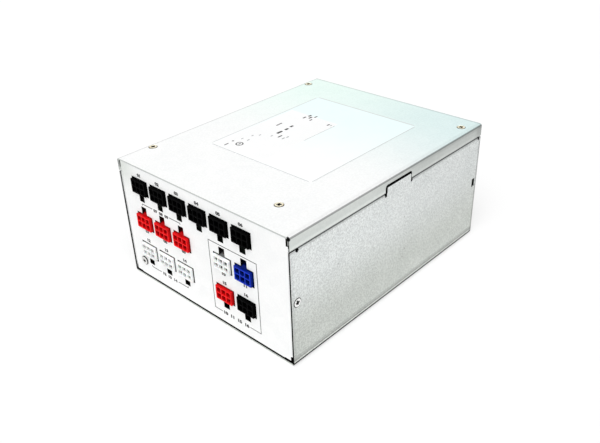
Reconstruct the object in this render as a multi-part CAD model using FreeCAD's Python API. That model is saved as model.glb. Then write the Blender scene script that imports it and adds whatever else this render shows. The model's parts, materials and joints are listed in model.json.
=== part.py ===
"""Modular power supply in a folded sheet-metal case, modelled piece by piece.

Millimetres. The origin is at the centre of the case's underside. +X is to the right when the
output sockets are seen from in front, +Y runs to the rear with the fan, and +Z is up.
"""
import FreeCAD, Part
import math
import os

V = FreeCAD.Vector
X, Y, Z = V(1, 0, 0), V(0, 1, 0), V(0, 0, 1)

# Case
case_width = 150.0
case_depth = 190.0
sheet = 1.0
bend_inner = 0.8
panel_bend_inner = 0.6
lap_gap = 0.1
fan_room = 2.0

# Cutters run this far past the faces that they open
past = 1.0

# Edges that lean less than this count as parallel
parallel = 0.01

# Cover flange, its seam and the tab that stands up into it
flange_drop = 8.4
seam_gap = 0.9
joggle_bend = 0.3
joggle_drop = 0.4
lip_base_drop = 2.0
lip_top_drop = 2.8
lip_front_inset = 5.0
lip_rear_inset = 2.2
relief_width = 1.2
tab_half = 12.3
tab_middle = 0.8
tab_height = 4.5
tab_corner = 2.0
tab_lead_gap = 1.5
tab_trail_gap = 0.4
tab_top_gap = 1.4

# Fasteners
thread_r = 1.45
thread_gap = 0.05
shank_room = 0.25
pan_head_r = 3.2
pan_head_height = 0.9
head_round = 0.5
flat_head_r = 3.3
flat_head_rise = 1.2
flat_head_rim = 0.25
recess_length = 3.2
recess_width = 0.8
recess_depth = 0.6
countersink_depth = 3.0
cover_screw_length = 4.0
cover_screw_left = 4.4
cover_screw_right = 7.9
cover_screw_inner = 28.4
cover_screw_rear = 13.6
cover_screw_front_left = 25.0
cover_screw_front_right = 22.2
ear_half = 5.5
ear_reach = 4.5
side_screw_setback = 4.7
side_screw_height = 42.6
side_screw_length = 4.0
base_screw_x = 58.0
base_screw_length = 2.6

# Rear hooks in the side walls
hook_slot_setback = 4.1
hook_slot_width = 2.6
hook_slot_height = 5.2
hook_slot_z = 42.9
hook_gap = 0.2
hook_reach = 0.6

# Air slots in the left wall
vent_count = 11
vent_pitch = 7.0
vent_width = 3.0
vent_corner = 1.45
vent_height = 22.0
vent_from_front = 43.0
vent_low_z = 18.0
vent_high_z = 45.0

# End panels
panel_inset = 0.2
panel_flange = 10.0
panel_corner = 4.4
panel_top_corner = 4.9
base_flange_inset = 5.0

# Output sockets
socket_columns = 6
socket_pitch = 18.45
socket_from_left = 20.9
socket_left_columns = 3
socket_right_columns = 2
socket_top_row_drop = 14.1
socket_mid_row_z = 46.4
socket_low_row_z = 24.3
socket_width = 13.8
socket_height = 9.6
socket_depth = 11.6
socket_proud = 1.9
socket_edge = 0.4
cell_pitch = 4.2
cell_size = 3.3
cell_depth = 9.4
cell_chamfer = 0.8
cell_columns = 3
cell_rows = 2
pin_size = 1.1
pin_setback = 3.0
pin_tail = 2.6
latch_base = 5.4
latch_top = 3.4
latch_height = 1.4
latch_depth = 4.6
latch_start = 1.6
latch_slope = 1.6
cutout_side_gap = 0.9
cutout_height_gap = 0.8
notch_width = 5.0
notch_height = 5.2

# Socket board and the post behind the panel screw
board_thickness = 1.6
socket_board_side = 6.0
socket_board_low = 7.0
socket_board_top = 3.6
post_from_left = 12.6
post_z = 13.3
post_flats = 6.0

# Main board
standoff_height = 6.4
standoff_flats = 5.5
standoff_inset = 6.0
foot_r = 2.4
film_thickness = 0.4
film_edge_room = 0.5
film_hole_room = 0.8
board_side = 7.0
board_front_gap = 21.5
board_rear_gap = 6.8
board_screw_length = 4.0
board_head_r = 2.8
board_head_height = 1.6

# Rating label
label_width = 88.4
label_length = 106.8
label_from_left = 29.8
label_from_rear = 31.0
label_corner = 3.0
label_thickness = 0.15

# Fan
fan_depth = 25.0
fan_from_right = 12.0
fan_corner = 4.0
fan_rim = 2.0
fan_wall = 1.6
fan_flange = 3.6
fan_hole_span = 71.5
fan_hole_edge = 4.25
fan_hole_r = 2.15
fan_hub_r = 18.0
fan_hub_wall = 1.6
fan_hub_face = 2.0
fan_tip_gap = 0.8
fan_end_gap = 1.2
fan_base_thickness = 3.0
fan_base_gap = 2.3
blade_root_sink = 1.1
fan_strut = 3.0
fan_struts = 4
fan_strut_turn = 20.0
fan_shaft_r = 1.5
fan_running_gap = 0.05
fan_bearing_wall = 0.7
fan_tube_wall = 1.0
fan_boss_r = 3.0
fan_boss_length = 2.0
fan_boss_gap = 1.0
fan_blades = 7
blade_root_chord = 16.0
blade_tip_chord = 22.0
blade_root_thickness = 1.8
blade_tip_thickness = 1.2
blade_root_pitch = 50.0
blade_tip_pitch = 30.0
stator_r = 14.5
stator_length = 9.0
stator_slot = 3.0
stator_core_r = 7.5
stator_poles = 4
stator_turn = 45.0
fan_screw_length = 9.0
fan_head_r = 3.6
fan_head_height = 1.6

# Fan guard
wire_r = 0.8
guard_rings = 5
guard_first_ring = 9.0
guard_pitch = 7.0
guard_weld = 0.1
guard_eye_gap = 0.2

# Mounting holes of the rear panel, measured from its own edges
mount_hole_side = 6.0
mount_hole_top = 6.0
mount_hole_low = 16.0
mount_hole_inner = 30.0
mount_hole_base = 6.0
mount_collar_wall = 1.1
mount_collar_length = 1.2

# Mains inlet
inlet_from_left = 29.0
inlet_z = 50.0
inlet_flange_width = 23.0
inlet_flange_height = 48.0
inlet_flange_thickness = 2.4
inlet_flange_corner = 4.0
inlet_screw_span = 40.0
inlet_screw_length = 6.0
inlet_mouth_width = 16.4
inlet_mouth_height = 24.0
inlet_mouth_chamfer = 4.0
inlet_wall = 1.6
inlet_depth = 16.0
inlet_floor = 2.6
inlet_cut_gap = 0.25
blade_width = 2.0
blade_height = 4.0
blade_setback = 1.6
blade_tail = 6.0
blade_spread = 7.0
blade_offset = 3.6
blade_gap = 0.02
blade_corner = 0.4

# Inner wires
lead_r = 1.3
lead_bend = 9.0
lead_setback = 2.0
lead_spread = 3.2
fan_lead_r = 1.0
fan_lead_bend = 6.0
fan_lead_out = 8.0
fan_lead_z = 30.0
fan_lead_setback = 6.0
fan_lead_drop = 15.0

# Bulk storage and line parts along the left of the main board
bulk_r = 12.0
bulk_height = 48.0
bulk_from_left = 20.0
bulk_count = 2
can_edge = 1.2
line_cap_width = 24.0
line_cap_depth = 6.5
line_cap_height = 17.0
line_caps = 2
line_choke_ring = 8.0
line_choke_r = 4.0
column_inset = 8.0

# Heat sinks and the power devices on them
sink_thickness = 3.5
sink_height = 52.0
sink_from_front = 16.0
sink_length = 62.0
sink_fins = 5
sink_fin_thickness = 1.5
sink_fin_length = 3.0
sink_room = 1.25
sink_from_right = 38.0
device_width = 15.6
device_thickness = 4.8
device_height = 20.0
device_lift = 6.0
device_pitch = 19.0
device_from_end = 10.0
devices_per_sink = 3
bridge_width = 24.0
bridge_thickness = 4.6
bridge_height = 18.0
bridge_lift = 30.0

# Magnetics in the middle
core_leg = 6.0
core_window = 7.5
core_centre = 10.0
core_depth = 15.0
core_height = 38.0
core_yoke = 6.5
core_from_front = 42.0
winding_gap = 0.3
winding_end_gap = 0.6
winding_overhang = 7.0
winding_corner = 4.0
boost_ring = 12.0
boost_r = 5.5
boost_x = -8.0
boost_from_rear = 30.0
standby_width = 16.0
standby_depth = 14.0
standby_height = 16.0
standby_bulge = 2.0
standby_x = 20.0
standby_from_rear = 34.0

# Output side of the main board
output_cap_r = 4.0
output_cap_height = 22.0
output_cap_rows = 4
output_cap_columns = 2
output_cap_pitch = 10.0
output_cap_from_right = 9.0
output_cap_from_front = 18.0
output_ring = 8.0
output_ring_r = 4.5
output_ring_from_right = 17.0
output_ring_from_rear = 38.0
control_width = 34.0
control_height = 28.0
control_from_right = 22.0
control_from_rear = 18.0
bar_width = 12.0
bar_thickness = 1.5
bar_bend = 2.0
bar_setback = 5.0
bar_rise = 20.0
bar_step = 16.0
bar_tab = 9.0
bar_first_x = 8.0
bars = 2

# Worked out from the values above
fan_size = fan_hole_span + 2 * fan_hole_edge
fan_bore_r = fan_size / 2 - fan_rim
case_height = fan_size + 2 * (sheet + fan_room)
half_width = case_width / 2
front_y = -case_depth / 2
rear_y = case_depth / 2
inner_x = half_width - sheet
lap_x = inner_x - lap_gap
cover_under = case_height - sheet
lap_top = cover_under - lap_gap
flange_edge = case_height - flange_drop
wall_top = flange_edge - seam_gap
lip_base = wall_top - lip_base_drop
tab_top = wall_top + tab_height
tab_front = tab_middle - tab_half
tab_rear = tab_middle + tab_half
bore_r = thread_r + thread_gap
clear_r = thread_r + shank_room
panel_face = front_y + panel_inset
panel_back = panel_face + sheet
panel_flat = lap_x - panel_bend_inner - sheet
panel_low = sheet + lap_gap
rear_face = rear_y - panel_inset
rear_inside = rear_face - sheet
base_screw_setback = panel_inset + panel_flange / 2 + sheet
socket_face = panel_face - socket_proud
socket_back = socket_face + socket_depth
socket_board_back = socket_back + board_thickness
cutout_width = socket_width + 2 * cutout_side_gap
cutout_height = socket_height + 2 * cutout_height_gap
fan_x = half_width - fan_from_right - fan_size / 2
fan_z = case_height / 2
fan_front = rear_inside - fan_depth
fan_base_front = rear_inside - fan_base_thickness
hub_front = fan_front + fan_end_gap
hub_rear = fan_base_front - fan_base_gap
hub_inner_r = fan_hub_r - fan_hub_wall
blade_mid = (hub_front + hub_rear) / 2
blade_tip_r = fan_bore_r - fan_tip_gap
bearing_bore = fan_shaft_r + fan_running_gap
bearing_r = bearing_bore + fan_bearing_wall
tube_bore = bearing_r + thread_gap
tube_r = tube_bore + fan_tube_wall
boss_end = hub_front + fan_hub_face + fan_boss_length
tube_front = boss_end + fan_boss_gap
board_low = sheet + standoff_height
board_top = board_low + board_thickness
board_half = half_width - board_side
board_front = socket_board_back + board_front_gap
board_rear = fan_front - board_rear_gap
inlet_x = -half_width + inlet_from_left
inlet_face = rear_face + inlet_flange_thickness
inlet_back = inlet_face - inlet_depth - inlet_floor
inlet_body_width = inlet_mouth_width + 2 * inlet_wall
inlet_body_height = inlet_mouth_height + 2 * inlet_wall
vent_first_y = front_y + vent_from_front
socket_first_x = -half_width + socket_from_left
post_x = -half_width + post_from_left
lead_drop_y = board_rear - lead_setback
column_x = -half_width + bulk_from_left
sink_left_x = column_x + bulk_r + sink_room + sink_fin_length + sink_thickness / 2
sink_right_x = half_width - sink_from_right
sink_front_y = board_front + sink_from_front
sink_rear_y = sink_front_y + sink_length
device_first_y = sink_front_y + device_from_end
core_y = board_front + core_from_front
boost_y = board_rear - boost_from_rear
standby_y = board_rear - standby_from_rear
output_cap_first_y = board_front + output_cap_from_front
output_ring_x = half_width - output_ring_from_right
output_ring_y = board_rear - output_ring_from_rear
control_y = board_rear - control_from_rear


def box(x0, x1, y0, y1, z0, z1):
    """Box between two corners."""
    return Part.makeBox(x1 - x0, y1 - y0, z1 - z0, V(x0, y0, z0))


def centred(x, z, width, height, y0, y1):
    """Box between two depths, centred on a point of the front view."""
    return box(x - width / 2, x + width / 2, y0, y1, z - height / 2, z + height / 2)


def fan_point(y):
    """Point on the fan's axis."""
    return V(fan_x, y, fan_z)


def rod(radius, start, end):
    """Round bar from one point to another."""
    return Part.makeCylinder(radius, (end - start).Length, start, end - start)


def prism(points, run):
    """Flat polygon pulled along a vector."""
    return Part.Face(Part.makePolygon(points + points[:1])).extrude(run)


def runs_along(edge, axis):
    """Whether a straight edge is parallel to an axis."""
    return edge.tangentAt(edge.FirstParameter).cross(axis).Length < parallel


def rounded(block, along, radius):
    """Box with its four edges along one axis rounded."""
    return block.makeFillet(radius, [e for e in block.Edges if runs_along(e, along)])


def joined(shapes):
    """One solid from several that overlap or meet."""
    return shapes[0].multiFuse(shapes[1:]).removeSplitter()


def placed(shape, spot, direction):
    """Copy of a shape drawn along +Z, turned to a direction and moved to a spot."""
    copy = shape.copy()
    copy.Placement = FreeCAD.Placement(spot, FreeCAD.Rotation(Z, direction))
    return copy


def mirrored_pair(shape):
    """A shape and its mirror image across the middle plane."""
    return [shape, shape.mirror(V(0, 0, 0), X)]


def unit(a, b):
    """Direction from one point to another."""
    return (b - a).normalize()


def corner_arc(before, corner, after, radius):
    """Start, middle and end of the arc that rounds one corner of a path."""
    d_in, d_out = unit(before, corner), unit(corner, after)
    half_turn = d_in.getAngle(d_out) / 2
    reach = radius * math.tan(half_turn)
    inward = (d_out - d_in).normalize()
    middle = corner + inward * (radius / math.cos(half_turn) - radius)
    return corner - d_in * reach, middle, corner + d_out * reach


def rounded_path(points, radii):
    """Edges of a path of straight runs and tangent arcs; radii are for its inner points."""
    edges = []
    here = points[0]
    for i in range(1, len(points) - 1):
        start, middle, end = corner_arc(points[i - 1], points[i], points[i + 1], radii[i - 1])
        edges.append(Part.LineSegment(here, start).toShape())
        edges.append(Part.Arc(start, middle, end).toShape())
        here = end
    edges.append(Part.LineSegment(here, points[-1]).toShape())
    return edges


def folded_sheet(points, thickness, inner, run):
    """Sheet folded along a path; a positive thickness is on the side that run x path points to."""
    side = V(run).normalize() * math.copysign(1, thickness)
    thickness = abs(thickness)
    ways = [unit(a, b) for a, b in zip(points, points[1:])]
    normals = [side.cross(way) for way in ways]
    shifted = [points[0] + normals[0] * thickness]
    radii, far_radii = [], []
    for i in range(1, len(points) - 1):
        blend = (normals[i - 1] + normals[i]).normalize()
        lean = math.cos(normals[i - 1].getAngle(normals[i]) / 2)
        shifted.append(points[i] + blend * (thickness / lean))
        inside = ways[i].dot(normals[i - 1]) > 0
        radii.append(inner + thickness if inside else inner)
        far_radii.append(inner if inside else inner + thickness)
    shifted.append(points[-1] + normals[-1] * thickness)
    edges = rounded_path(points, radii)
    edges.append(Part.LineSegment(points[-1], shifted[-1]).toShape())
    edges += rounded_path(shifted[::-1], far_radii[::-1])
    edges.append(Part.LineSegment(shifted[0], points[0]).toShape())
    return Part.Face(Part.Wire(edges)).extrude(run)


def wire_along(points, bend, radius):
    """Round wire along straight runs and tangent arcs."""
    path = Part.Wire(rounded_path(points, [bend] * (len(points) - 2)))
    ring = Part.Wire(Part.makeCircle(radius, points[0], points[1] - points[0]))
    solid = path.makePipeShell([ring], True, True)
    expected = math.pi * radius ** 2 * path.Length
    print("wire length", round(path.Length, 1), "volume share", round(solid.Volume / expected, 4))
    return solid


def cross_recess(top):
    """Cross-shaped driver recess below a height on the Z axis."""
    long, short = recess_length / 2, recess_width / 2
    arms = [box(-long, long, -short, short, top - recess_depth, top + recess_depth)]
    arms.append(box(-short, short, -long, long, top - recess_depth, top + recess_depth))
    return joined(arms)


def pan_screw(head_r, head_height, length, shank_r=thread_r):
    """Screw with a low domed head that sits on the XY plane, its shank below."""
    head = Part.makeCylinder(head_r, head_height)
    rim = [e for e in head.Edges if e.BoundBox.ZMin > head_height / 2 and e.Closed]
    head = head.makeFillet(head_round, rim)
    shank = rod(shank_r, V(0, 0, 0), V(0, 0, -length))
    return joined([head, shank]).cut(cross_recess(head_height))


def flat_screw(length):
    """Countersunk screw with its head level with the XY plane and its rim broken."""
    widest = flat_head_r - (flat_head_r - thread_r) * flat_head_rim / flat_head_rise
    cone = Part.makeCone(thread_r, widest, flat_head_rise - flat_head_rim, V(0, 0, -flat_head_rise))
    rim = Part.makeCone(widest, widest - flat_head_rim, flat_head_rim, V(0, 0, -flat_head_rim))
    return joined([cone, rim, rod(thread_r, V(0, 0, 0), V(0, 0, -length))]).cut(cross_recess(0))


def countersink(spot, outward):
    """Cutter for a countersunk hole through two lapped sheets, slightly larger than the screw."""
    head = Part.makeCone(bore_r, flat_head_r + thread_gap, flat_head_rise, V(0, 0, -flat_head_rise))
    hole = joined([head, rod(bore_r, V(0, 0, -countersink_depth), V(0, 0, 0))])
    return placed(hole, spot, outward)


def cover_screw_spots():
    """Where the cover is screwed down, and the side whose wall carries the ear."""
    spots = [(-half_width + cover_screw_left, rear_y - cover_screw_rear, -1),
             (half_width - cover_screw_right, rear_y - cover_screw_rear, 1),
             (-half_width + cover_screw_left, front_y + cover_screw_front_left, -1),
             (half_width - cover_screw_inner, front_y + cover_screw_front_right, 1)]
    return [(V(x, y, case_height), side) for x, y, side in spots]


def base_screw_spots():
    """Screws through the underside into the panels' lower flanges."""
    setbacks = [front_y + base_screw_setback, rear_y - base_screw_setback]
    return [V(x, y, 0) for y in setbacks for x in (-base_screw_x, base_screw_x)]


def side_screw_spots():
    """Screws through the side walls into the front panel's flanges."""
    y = front_y + side_screw_setback
    return [V(side * half_width, y, side_screw_height) for side in (-1, 1)]


def standoff_spots():
    """Board supports at the four corners."""
    x = board_half - standoff_inset
    ys = [board_front + standoff_inset, board_rear - standoff_inset]
    return [(side * x, y) for y in ys for side in (-1, 1)]


def fan_hole_spots():
    """Centres of the fan's four screw holes, X and Z."""
    half = fan_hole_span / 2
    return [(fan_x + i * half, fan_z + k * half) for k in (-1, 1) for i in (-1, 1)]


def mount_hole_spots():
    """Threaded mounting holes of the rear panel, X and Z."""
    return [(half_width - mount_hole_side, case_height - mount_hole_top),
            (-half_width + mount_hole_side, case_height - mount_hole_top),
            (half_width - mount_hole_side, mount_hole_low),
            (-half_width + mount_hole_inner, mount_hole_base)]


def socket_places():
    """Centre of each socket and whether its latch is above it, row by row."""
    xs = [socket_first_x + i * socket_pitch for i in range(socket_columns)]
    rows = [(case_height - socket_top_row_drop, False, xs)]
    lower = xs[:socket_left_columns] + xs[-socket_right_columns:]
    rows.append((socket_mid_row_z, True, lower))
    rows.append((socket_low_row_z, False, lower))
    return [(x, z, latch_up) for z, latch_up, row in rows for x in row]


def lip_strip(y0, y1):
    """Right-hand wall edge stepped in behind the cover's flange."""
    low = wall_top - joggle_drop
    step = half_width - lap_x
    points = [V(half_width, y0, lip_base - sheet), V(half_width, y0, low)]
    points += [V(lap_x, y0, low + step), V(lap_x, y0, case_height - lip_top_drop)]
    return folded_sheet(points, -sheet, joggle_bend, Y * (y1 - y0))


def ear(x, y):
    """Ear folded in from the right-hand wall edge, under a cover screw."""
    y0 = y - ear_half
    points = [V(lap_x, y0, flange_edge + sheet), V(lap_x, y0, lap_top), V(x - ear_reach, y0, lap_top)]
    return folded_sheet(points, -sheet, panel_bend_inner, Y * (2 * ear_half))


def wall_tab():
    """Tab that stands up from the right-hand wall into the flange's notch."""
    tab = box(inner_x, half_width, tab_front, tab_rear, lip_base - sheet, tab_top)
    top = [e for e in tab.Edges if e.BoundBox.ZMin > wall_top and runs_along(e, X)]
    return tab.makeFillet(tab_corner, top)


def chassis():
    """Bottom and both side walls in one folded sheet."""
    points = [V(-half_width, front_y, lip_base), V(-half_width, front_y, 0)]
    points += [V(half_width, front_y, 0), V(half_width, front_y, lip_base)]
    tray = folded_sheet(points, -sheet, bend_inner, Y * case_depth)
    lip_front = front_y + lip_front_inset
    lip_rear = rear_y - lip_rear_inset
    shared = [lip_strip(lip_front + relief_width, tab_front - relief_width - seam_gap)]
    shared.append(lip_strip(tab_rear + relief_width, lip_rear - relief_width))
    shared.append(wall_tab())
    for y0, y1 in ((front_y, lip_front), (lip_rear, rear_y)):
        shared.append(box(inner_x, half_width, y0, y1, lip_base - sheet, wall_top))
    pieces = [tray]
    for piece in shared:
        pieces += mirrored_pair(piece)
    for spot, side in cover_screw_spots():
        piece = ear(side * spot.x, spot.y)
        pieces.append(piece if side > 0 else piece.mirror(V(0, 0, 0), X))
    body = joined(pieces)
    cuts = [countersink(spot, Z) for spot, _ in cover_screw_spots()]
    cuts += [countersink(spot, V(spot.x, 0, 0)) for spot in side_screw_spots()]
    cuts += [countersink(spot, -Z) for spot in base_screw_spots()]
    cuts += [rod(foot_r + thread_gap, V(x, y, -past), V(x, y, sheet + past)) for x, y in standoff_spots()]
    cuts += mirrored_pair(hook_box(inner_x - past, half_width + past, 0))
    cuts += vent_slots()
    return body.cut(Part.makeCompound(cuts))


def hook_box(x0, x1, gap):
    """Space of a rear hook in the right-hand wall, less a gap all round."""
    y = rear_y - hook_slot_setback
    half, rise = hook_slot_width / 2 - gap, hook_slot_height / 2 - gap
    return box(x0, x1, y - half, y + half, hook_slot_z - rise, hook_slot_z + rise)


def vent_slots():
    """Cutters for two rows of air slots in the left wall."""
    slots = []
    for i in range(vent_count):
        y = vent_first_y + i * vent_pitch
        for z in (vent_low_z, vent_high_z):
            slot = box(-half_width - past, -inner_x + past, y, y + vent_width, z, z + vent_height)
            slots.append(rounded(slot, X, vent_corner))
    return slots


def top_cover():
    """Cover with two turned-down flanges, each notched around a wall tab."""
    points = [V(-half_width, front_y, flange_edge), V(-half_width, front_y, case_height)]
    points += [V(half_width, front_y, case_height), V(half_width, front_y, flange_edge)]
    lid = folded_sheet(points, sheet, bend_inner, Y * case_depth)
    notch = box(inner_x - past, half_width + past, tab_front - tab_lead_gap, tab_rear + tab_trail_gap,
                lip_base - tab_height, tab_top + tab_top_gap)
    cuts = mirrored_pair(rounded(notch, X, tab_corner))
    cuts += [countersink(spot, Z) for spot, _ in cover_screw_spots()]
    return lid.cut(Part.makeCompound(cuts))


def end_panel():
    """Blank of an end panel as it stands at the front: plate, side flanges and lower flange."""
    back = panel_face + panel_flange
    low, high = panel_low + panel_corner, lap_top - panel_top_corner
    points = [V(-lap_x, back, low), V(-lap_x, panel_face, low)]
    points += [V(lap_x, panel_face, low), V(lap_x, back, low)]
    sides = folded_sheet(points, sheet, panel_bend_inner, Z * (high - low))
    x0 = -panel_flat + base_flange_inset
    points = [V(x0, panel_face, low), V(x0, panel_face, panel_low), V(x0, back, panel_low)]
    foot = folded_sheet(points, sheet, panel_bend_inner, X * (-2 * x0))
    top = box(-panel_flat, panel_flat, panel_face, panel_back, high - sheet, lap_top)
    rise = panel_low + panel_bend_inner + sheet
    bottom = box(-panel_flat, panel_flat, panel_face, panel_back, rise, low + sheet)
    lip_start = front_y + min(lip_front_inset, lip_rear_inset)
    lip_low = lip_base - sheet - past
    lip_room = box(lap_x - sheet - past, half_width, lip_start, back + past, lip_low, high)
    return joined([sides, foot, top, bottom]).cut(Part.makeCompound(mirrored_pair(lip_room)))


def front_panel():
    """Front panel with a notched cut-out for each socket."""
    y0, y1 = panel_face - past, panel_back + past
    reach = cutout_height / 2 + notch_height
    cuts = []
    for x, z, latch_up in socket_places():
        window = centred(x, z, cutout_width, cutout_height, y0, y1)
        middle = z + reach / 2 if latch_up else z - reach / 2
        notch = centred(x, middle, notch_width, reach, y0, y1)
        cuts.append(joined([window, notch]))
    cuts.append(rod(clear_r, V(post_x, y0, post_z), V(post_x, y1, post_z)))
    cuts += [countersink(spot, V(spot.x, 0, 0)) for spot in side_screw_spots()]
    cuts += [countersink(spot, -Z) for spot in base_screw_spots()[:2]]
    return end_panel().cut(Part.makeCompound(cuts))


def rear_panel():
    """Rear panel with the fan's opening, the inlet's cut-out and the threaded mounting holes."""
    blank = end_panel().mirror(V(0, 0, 0), Y)
    extra = mirrored_pair(hook_box(lap_x - sheet / 2, inner_x + hook_reach, hook_gap))
    collar_end = rear_inside - mount_collar_length
    collar_r = thread_r + mount_collar_wall
    extra += [rod(collar_r, V(x, rear_face, z), V(x, collar_end, z)) for x, z in mount_hole_spots()]
    body = joined([blank] + extra)
    y0, y1 = collar_end - past, rear_face + past
    cuts = [rod(fan_bore_r, fan_point(y0), fan_point(y1))]
    cuts += [rod(thread_r, V(x, y0, z), V(x, y1, z)) for x, z in mount_hole_spots()]
    cuts += [rod(fan_hole_r, V(x, y0, z), V(x, y1, z)) for x, z in fan_hole_spots()]
    wide, high = inlet_body_width + 2 * inlet_cut_gap, inlet_body_height + 2 * inlet_cut_gap
    cuts.append(centred(inlet_x, inlet_z, wide, high, y0, y1))
    cuts += [rod(bore_r, V(spot.x, y0, spot.z), V(spot.x, y1, spot.z)) for spot in inlet_screw_spots()]
    cuts += [countersink(spot, -Z) for spot in base_screw_spots()[2:]]
    return body.cut(Part.makeCompound(cuts))


def rating_label():
    """Plain paper label stuck on the cover."""
    x0, y1 = -half_width + label_from_left, rear_y - label_from_rear
    top = case_height + label_thickness
    paper = box(x0, x0 + label_width, y1 - label_length, y1, case_height, top)
    return rounded(paper, Z, label_corner)


def cover_screws():
    """Countersunk screws that hold the cover to the ears."""
    return [placed(flat_screw(cover_screw_length), spot, Z) for spot, _ in cover_screw_spots()]


def side_screws():
    """Countersunk screws through the walls into the front panel."""
    return [placed(flat_screw(side_screw_length), spot, V(spot.x, 0, 0)) for spot in side_screw_spots()]


def base_screws():
    """Countersunk screws through the underside into both end panels."""
    return [placed(flat_screw(base_screw_length), spot, -Z) for spot in base_screw_spots()]


def panel_screw():
    """Pan-head screw on the front panel, into the socket board's post."""
    screw = pan_screw(pan_head_r, pan_head_height, cover_screw_length)
    return placed(screw, V(post_x, panel_face, post_z), -Y)


def cell_centres():
    """Centres of a socket's cells about its own centre, with a flag for the chamfered ones."""
    for i in range(cell_columns):
        for k in range(cell_rows):
            x = (i - (cell_columns - 1) / 2) * cell_pitch
            z = (k - (cell_rows - 1) / 2) * cell_pitch
            yield x, z, (i + k) % 2 == 1


def cell_cutter(x, z, chamfered):
    """Space of one cell, square or with two corners cut."""
    cell = centred(x, z, cell_size, cell_size, 0, cell_depth)
    if not chamfered:
        return cell
    corners = [e for e in cell.Edges if e.BoundBox.ZMin > z and runs_along(e, Y)]
    return cell.makeChamfer(cell_chamfer, corners)


def socket():
    """Socket with its mouth on the XZ plane and its latch ramp below."""
    body = rounded(centred(0, 0, socket_width, socket_height, 0, socket_depth), Y, socket_edge)
    floor = -socket_height / 2
    back = latch_start + latch_depth
    base = flat_rectangle(latch_base / 2, latch_start, back, floor + socket_edge)
    tip = flat_rectangle(latch_top / 2, latch_start + latch_slope, back, floor - latch_height)
    ramp = Part.makeLoft([base, tip], True, True)
    cuts = [cell_cutter(*cell) for cell in cell_centres()]
    cuts += [centred(x, z, pin_size, pin_size, 0, socket_depth) for x, z, _ in cell_centres()]
    return joined([body, ramp]).cut(Part.makeCompound(cuts))


def flat_rectangle(half, y0, y1, z):
    """Level outline, centred across the X axis."""
    corners = [V(-half, y0, z), V(half, y0, z), V(half, y1, z), V(-half, y1, z)]
    return Part.makePolygon(corners + corners[:1])


def sockets():
    """Every output socket in its place, latch up or down."""
    down = socket()
    up = down.copy()
    up.rotate(V(0, 0, 0), Y, 180)
    return [(up if latch_up else down).translated(V(x, socket_face, z)) for x, z, latch_up in socket_places()]


def pin_bars(y0, y1):
    """Square bars between two depths at the place of every pin."""
    spots = [(x + dx, z + dz) for x, z, _ in socket_places() for dx, dz, _ in cell_centres()]
    return [centred(x, z, pin_size, pin_size, y0, y1) for x, z in spots]


def socket_pins():
    """Square pins through every cell's floor and the socket board."""
    return pin_bars(socket_face + pin_setback, socket_board_back + pin_tail)


def socket_board():
    """Board behind the front panel that carries the sockets."""
    half = half_width - socket_board_side
    board = box(-half, half, socket_back, socket_board_back, socket_board_low, lap_top - socket_board_top)
    y0, y1 = socket_back - past, socket_board_back + past
    holes = pin_bars(y0, y1) + [rod(clear_r, V(post_x, y0, post_z), V(post_x, y1, post_z))]
    return board.cut(Part.makeCompound(holes))


def hexagon(flats, spot, run):
    """Hexagonal bar along a vector."""
    reach = flats / math.sqrt(3)
    turns = [math.radians(60 * i) for i in range(6)]
    points = [V(reach * math.cos(a), reach * math.sin(a), 0) for a in turns]
    return placed(prism(points, Z * run.Length), spot, run)


def socket_board_post():
    """Tapped hexagonal post between the front panel and the socket board."""
    start = V(post_x, panel_back, post_z)
    run = Y * (socket_back - panel_back)
    return hexagon(post_flats, start, run).cut(rod(bore_r, start, start + run))


def main_board():
    """Main circuit board with its fixing holes."""
    board = box(-board_half, board_half, board_front, board_rear, board_low, board_top)
    low, high = board_low - past, board_top + past
    holes = [rod(clear_r, V(x, y, low), V(x, y, high)) for x, y in standoff_spots()]
    return board.cut(Part.makeCompound(holes))


def insulating_film():
    """Thin film between the board's solder side and the metal bottom."""
    half = board_half - film_edge_room
    y0, y1 = board_front + film_edge_room, board_rear - film_edge_room
    film = box(-half, half, y0, y1, sheet, sheet + film_thickness)
    room = standoff_flats / math.sqrt(3) + film_hole_room
    holes = [rod(room, V(x, y, 0), V(x, y, board_low)) for x, y in standoff_spots()]
    return film.cut(Part.makeCompound(holes))


def standoffs():
    """Hexagonal supports whose shanks are pressed into the bottom."""
    pieces = []
    for x, y in standoff_spots():
        post = hexagon(standoff_flats, V(x, y, sheet), Z * standoff_height)
        foot = rod(foot_r, V(x, y, 0), V(x, y, sheet + past))
        pieces.append(joined([post, foot]).cut(rod(bore_r, V(x, y, sheet + past), V(x, y, board_top))))
    return pieces


def board_screws():
    """Screws of the main board, and the one behind the socket board."""
    screw = pan_screw(board_head_r, board_head_height, board_screw_length)
    screws = [placed(screw, V(x, y, board_top), Z) for x, y in standoff_spots()]
    return screws + [placed(screw, V(post_x, socket_board_back, post_z), Y)]


def heat_sink(x, fin_side):
    """Upright plate with short fins on one side, standing on the board."""
    half = sink_thickness / 2
    top = board_top + sink_height
    pieces = [box(x - half, x + half, sink_front_y, sink_rear_y, board_top, top)]
    gap = (sink_height - sink_fin_thickness) / sink_fins
    for i in range(1, sink_fins + 1):
        z = board_top + i * gap
        edge = x + fin_side * (half + sink_fin_length)
        pieces.append(box(min(x, edge), max(x, edge), sink_front_y, sink_rear_y, z, z + sink_fin_thickness))
    return joined(pieces)


def power_devices():
    """Flat power devices on the inner faces of both heat sinks."""
    devices = []
    for x, side in ((sink_left_x, 1), (sink_right_x, -1)):
        face = x + side * sink_thickness / 2
        far = face + side * device_thickness
        for i in range(devices_per_sink):
            y = device_first_y + i * device_pitch
            z = board_top + device_lift
            half = device_width / 2
            devices.append(box(min(face, far), max(face, far), y - half, y + half, z, z + device_height))
    return devices


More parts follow.
